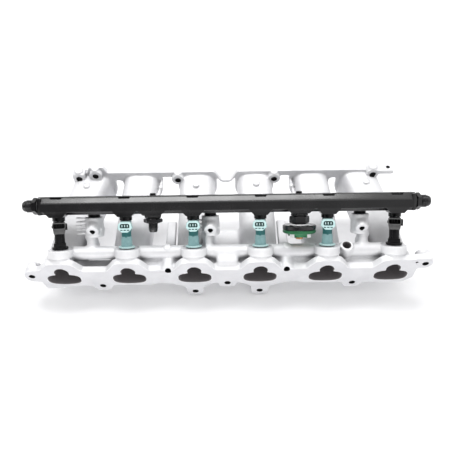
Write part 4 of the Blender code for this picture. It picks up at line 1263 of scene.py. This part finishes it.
def spoke(radius, width, low, high, angle):
    """A rounded lug that reaches out from the damper's axis."""
    outline = rounded_outline(((0, -width / 2, 0), (radius, -width / 2, 2), (radius, width / 2, 2),
                               (0, width / 2, 0)))
    return move(prism("spoke", outline, low, high, 0.5), turn=Matrix.Rotation(angle, 3, "Z"))


def damper_lower_case():
    """A shallow green cup with four lugs that are painted pale."""
    split, wide, hollow = DAMPER_SPLIT - GAP, DAMPER_RADIUS, DAMPER_HOLLOW_RADIUS
    body = turned("lower_case", [(hollow, split), (wide - 0.6, split), (wide, split - 0.6), (wide, 55.4),
                                 (wide - 1.2, 54.2), (16.8, 53.8), (15.6, 51), (11.2, 50.4), (10.6, 48.8),
                                 (10.2, 48.6), (3.4, 48.6), (3.4, 51), (13, 51.4), (hollow, 55.2)], 96)
    for turn in range(4):
        lug = spoke(17.6, 8.0, 48.8, 54.1, math.radians(45 + 90 * turn))
        join(body, cut(lug, solid_rod(10.4, 0, 0, 40, 60)))
    paint(body, lambda centre: 1 if centre.z < 53.6 and math.hypot(centre.x, centre.y) > 16.7 else 0)
    return cut(body, turned("inside", [(0, split + 1), (hollow, split + 1), (hollow, 55.2), (13, 51.4),
                                       (3.4, 51), (3.4, 40), (0, 40)]))


def damper_spring():
    """Two open turns of round wire."""
    curve = bpy.data.curves.new("spring", "CURVE")
    curve.dimensions = "3D"
    curve.bevel_depth = 0.35 * MM
    curve.bevel_resolution = 4
    curve.use_fill_caps = True
    spline = curve.splines.new("POLY")
    steps = 96
    spline.points.add(steps)
    for i, point in enumerate(spline.points):
        angle = 4 * math.pi * i / steps
        z = 52.6 + 4.6 * i / steps
        point.co = (6.6 * math.cos(angle) * MM, 6.6 * math.sin(angle) * MM, z * MM, 1)
    holder = add_object("spring", curve)
    bpy.context.view_layer.update()
    mesh = bpy.data.meshes.new_from_object(holder.evaluated_get(bpy.context.evaluated_depsgraph_get()))
    bpy.data.objects.remove(holder, do_unlink=True)
    return weld(add_object("spring", mesh))


def build_damper():
    wide, hollow, edge = DAMPER_RADIUS, DAMPER_HOLLOW_RADIUS, DAMPER_SPLIT + GAP
    adapter = turned("adapter", [(3.3, 92), (5.9, 91.6), (5.9, 81.4), (9.5, 81.3), (9.5, 67), (5.6, 66.8),
                                 (5.6, 64.2), (2.6, 64.2), (2.6, 91.4)])
    join(adapter, nut(12.2, 78.2, 80.9, 4), nut(13.9, 68.0, 77.6, 4, 1.2))
    upper = turned("upper", [(14.4, 66.5), (14.8, 66.1), (14.8, 65.8), (wide - 1.4, 65.6), (wide, 64.6),
                             (wide, edge + 0.5), (wide - 0.5, edge), (hollow, edge), (hollow, 63.6),
                             (6.0, 63.6), (6.0, 66.5)], 96)
    paint(upper, lambda centre: 1 if centre.z > 65.8 else 0)        # the bare washer, its brightness a painted highlight
    diaphragm = turned("diaphragm", [(0, 60.6), (8.8, 60.6), (9.4, 60.1), (11, 59.9), (12.4, 60.3),
                                     (13.8, 60.3), (15.2, 59.9), (17.8, 59.9), (17.8, 59.2), (15.2, 59.2),
                                     (13.8, 59.6), (12.4, 59.6), (11, 59.2), (9.4, 59.1), (8.8, 58.0),
                                     (0, 58.0)])
    screw = turned("adjuster", [(0, 52), (2.6, 52), (2.9, 51.6), (2.9, 48.2), (4.9, 48.1), (5.2, 47.8),
                                (5.2, 46), (4.6, 45.4), (1.9, 45.4), (1.7, 46.8), (0, 46.8)], 48)
    cut(screw, box("slot", (-6, -0.6, 44.9), (6, 0.6, 46.2), 0))
    pieces = {
        "adapter": (adapter, "black_anodised"),
        "upper_case": (upper, "black_anodised"),
        "lower_case": (damper_lower_case(), "green_anodised"),
        "diaphragm": (diaphragm, "steel"),
        "adjuster": (screw, "brass"),
        "seal": (ring(9.9, 11.6, 79.4, 81.4), "rubber"),
        "spring": (damper_spring(), "steel"),
    }
    for kind, (piece, coat) in pieces.items():
        body = "diaphragm" if kind == "diaphragm" else "manifold"
        place(move(piece, DAMPER_X), f"damper_{kind}", [coat, "pale"], body=body)


# ---------------- studio

def stage_material():
    shader = Shader("stage")
    faint = shader.spread(shader.noise(60, 3), 0.3, 0.7, 0, 0.3)
    shader.give("Emission Color", (1, 1, 1))
    shader.give("Emission Strength", 0.05)
    return shader.finish(shader.mix(faint, (0.90, 0.90, 0.91), (0.88, 0.88, 0.89)), 0.5)


def area_light(name, place_m, aim_m, size, power):
    light = bpy.data.lights.new(name, "AREA")
    light.shape = "RECTANGLE"
    light.size, light.size_y = size
    light.energy = power
    lamp = add_object(name, light)
    lamp.location = place_m
    lamp.rotation_euler = (Vector(aim_m) - Vector(place_m)).to_track_quat("-Z", "Y").to_euler()


def build_world():
    """The camera sees a plain pale room. The object sees bright light above, behind and along the
    floor, and a darker front, darkest at its left, which gives the black rail its depth."""
    world = bpy.data.worlds.new("studio")
    world.use_nodes = True
    sky = Nodes(world.node_tree)
    across, ahead, up = sky.split(sky.node("TexCoord").outputs["Generated"])
    high = sky.times(sky.spread(up, 0.3, 0.45), sky.spread(up, 0.93, 0.82))
    dark = sky.times(sky.spread(ahead, -0.1, -0.35), high)
    front = sky.spread(across, -0.3, 0.35, 0.03, 0.75)
    light = sky.blend(dark, sky.spread(up, 0.5, 0.95, 0.9, 1.25), front)
    seen = sky.node("LightPath").outputs["Is Camera Ray"]
    background = world.node_tree.nodes["Background"].inputs
    sky.feed(background["Color"], (1, 1, 1))
    sky.feed(background["Strength"], sky.blend(seen, light, 1.0))
    bpy.context.scene.world = world


def build_studio():
    bm = bmesh.new()
    bmesh.ops.create_grid(bm, x_segments=1, y_segments=1, size=6)
    mesh = bpy.data.meshes.new("studio_floor")
    bm.to_mesh(mesh)
    bm.free()
    floor = add_object("studio_floor", mesh)
    floor.location.z = cad_box[0].z - 0.0004
    floor.data.materials.append(stage_material())
    build_world()
    area_light("overhead", (-0.08, 0.42, 1.1), (0.0, 0.06, 0.05), (1.0, 0.3), 9)
    area_light("front", (-0.15, -1.2, 0.25), (0, 0.0, 0.0), (1.6, 0.4), 6)
    bpy.context.scene.view_settings.view_transform = "Standard"


CAMERA_PLACE = (-0.0025, -0.380, 0.605)
CAMERA_TILT = 38.0
CAMERA_ROLL = -0.81


def build_camera():
    camera = bpy.data.cameras.new("camera")
    camera.lens = 40.0
    camera.sensor_width = 36.0
    camera.clip_start = 0.02
    holder = add_object("camera", camera)
    turn = Matrix.Rotation(math.radians(CAMERA_TILT), 4, "X") @ Matrix.Rotation(
        math.radians(CAMERA_ROLL), 4, "Z")
    holder.matrix_world = Matrix.Translation(CAMERA_PLACE) @ turn
    bpy.context.scene.camera = holder


def main():
    build_casting()
    build_rail()
    build_end_fittings()
    build_return_port()
    build_mountings()
    build_injectors()
    build_damper()
    build_studio()
    build_camera()


main()
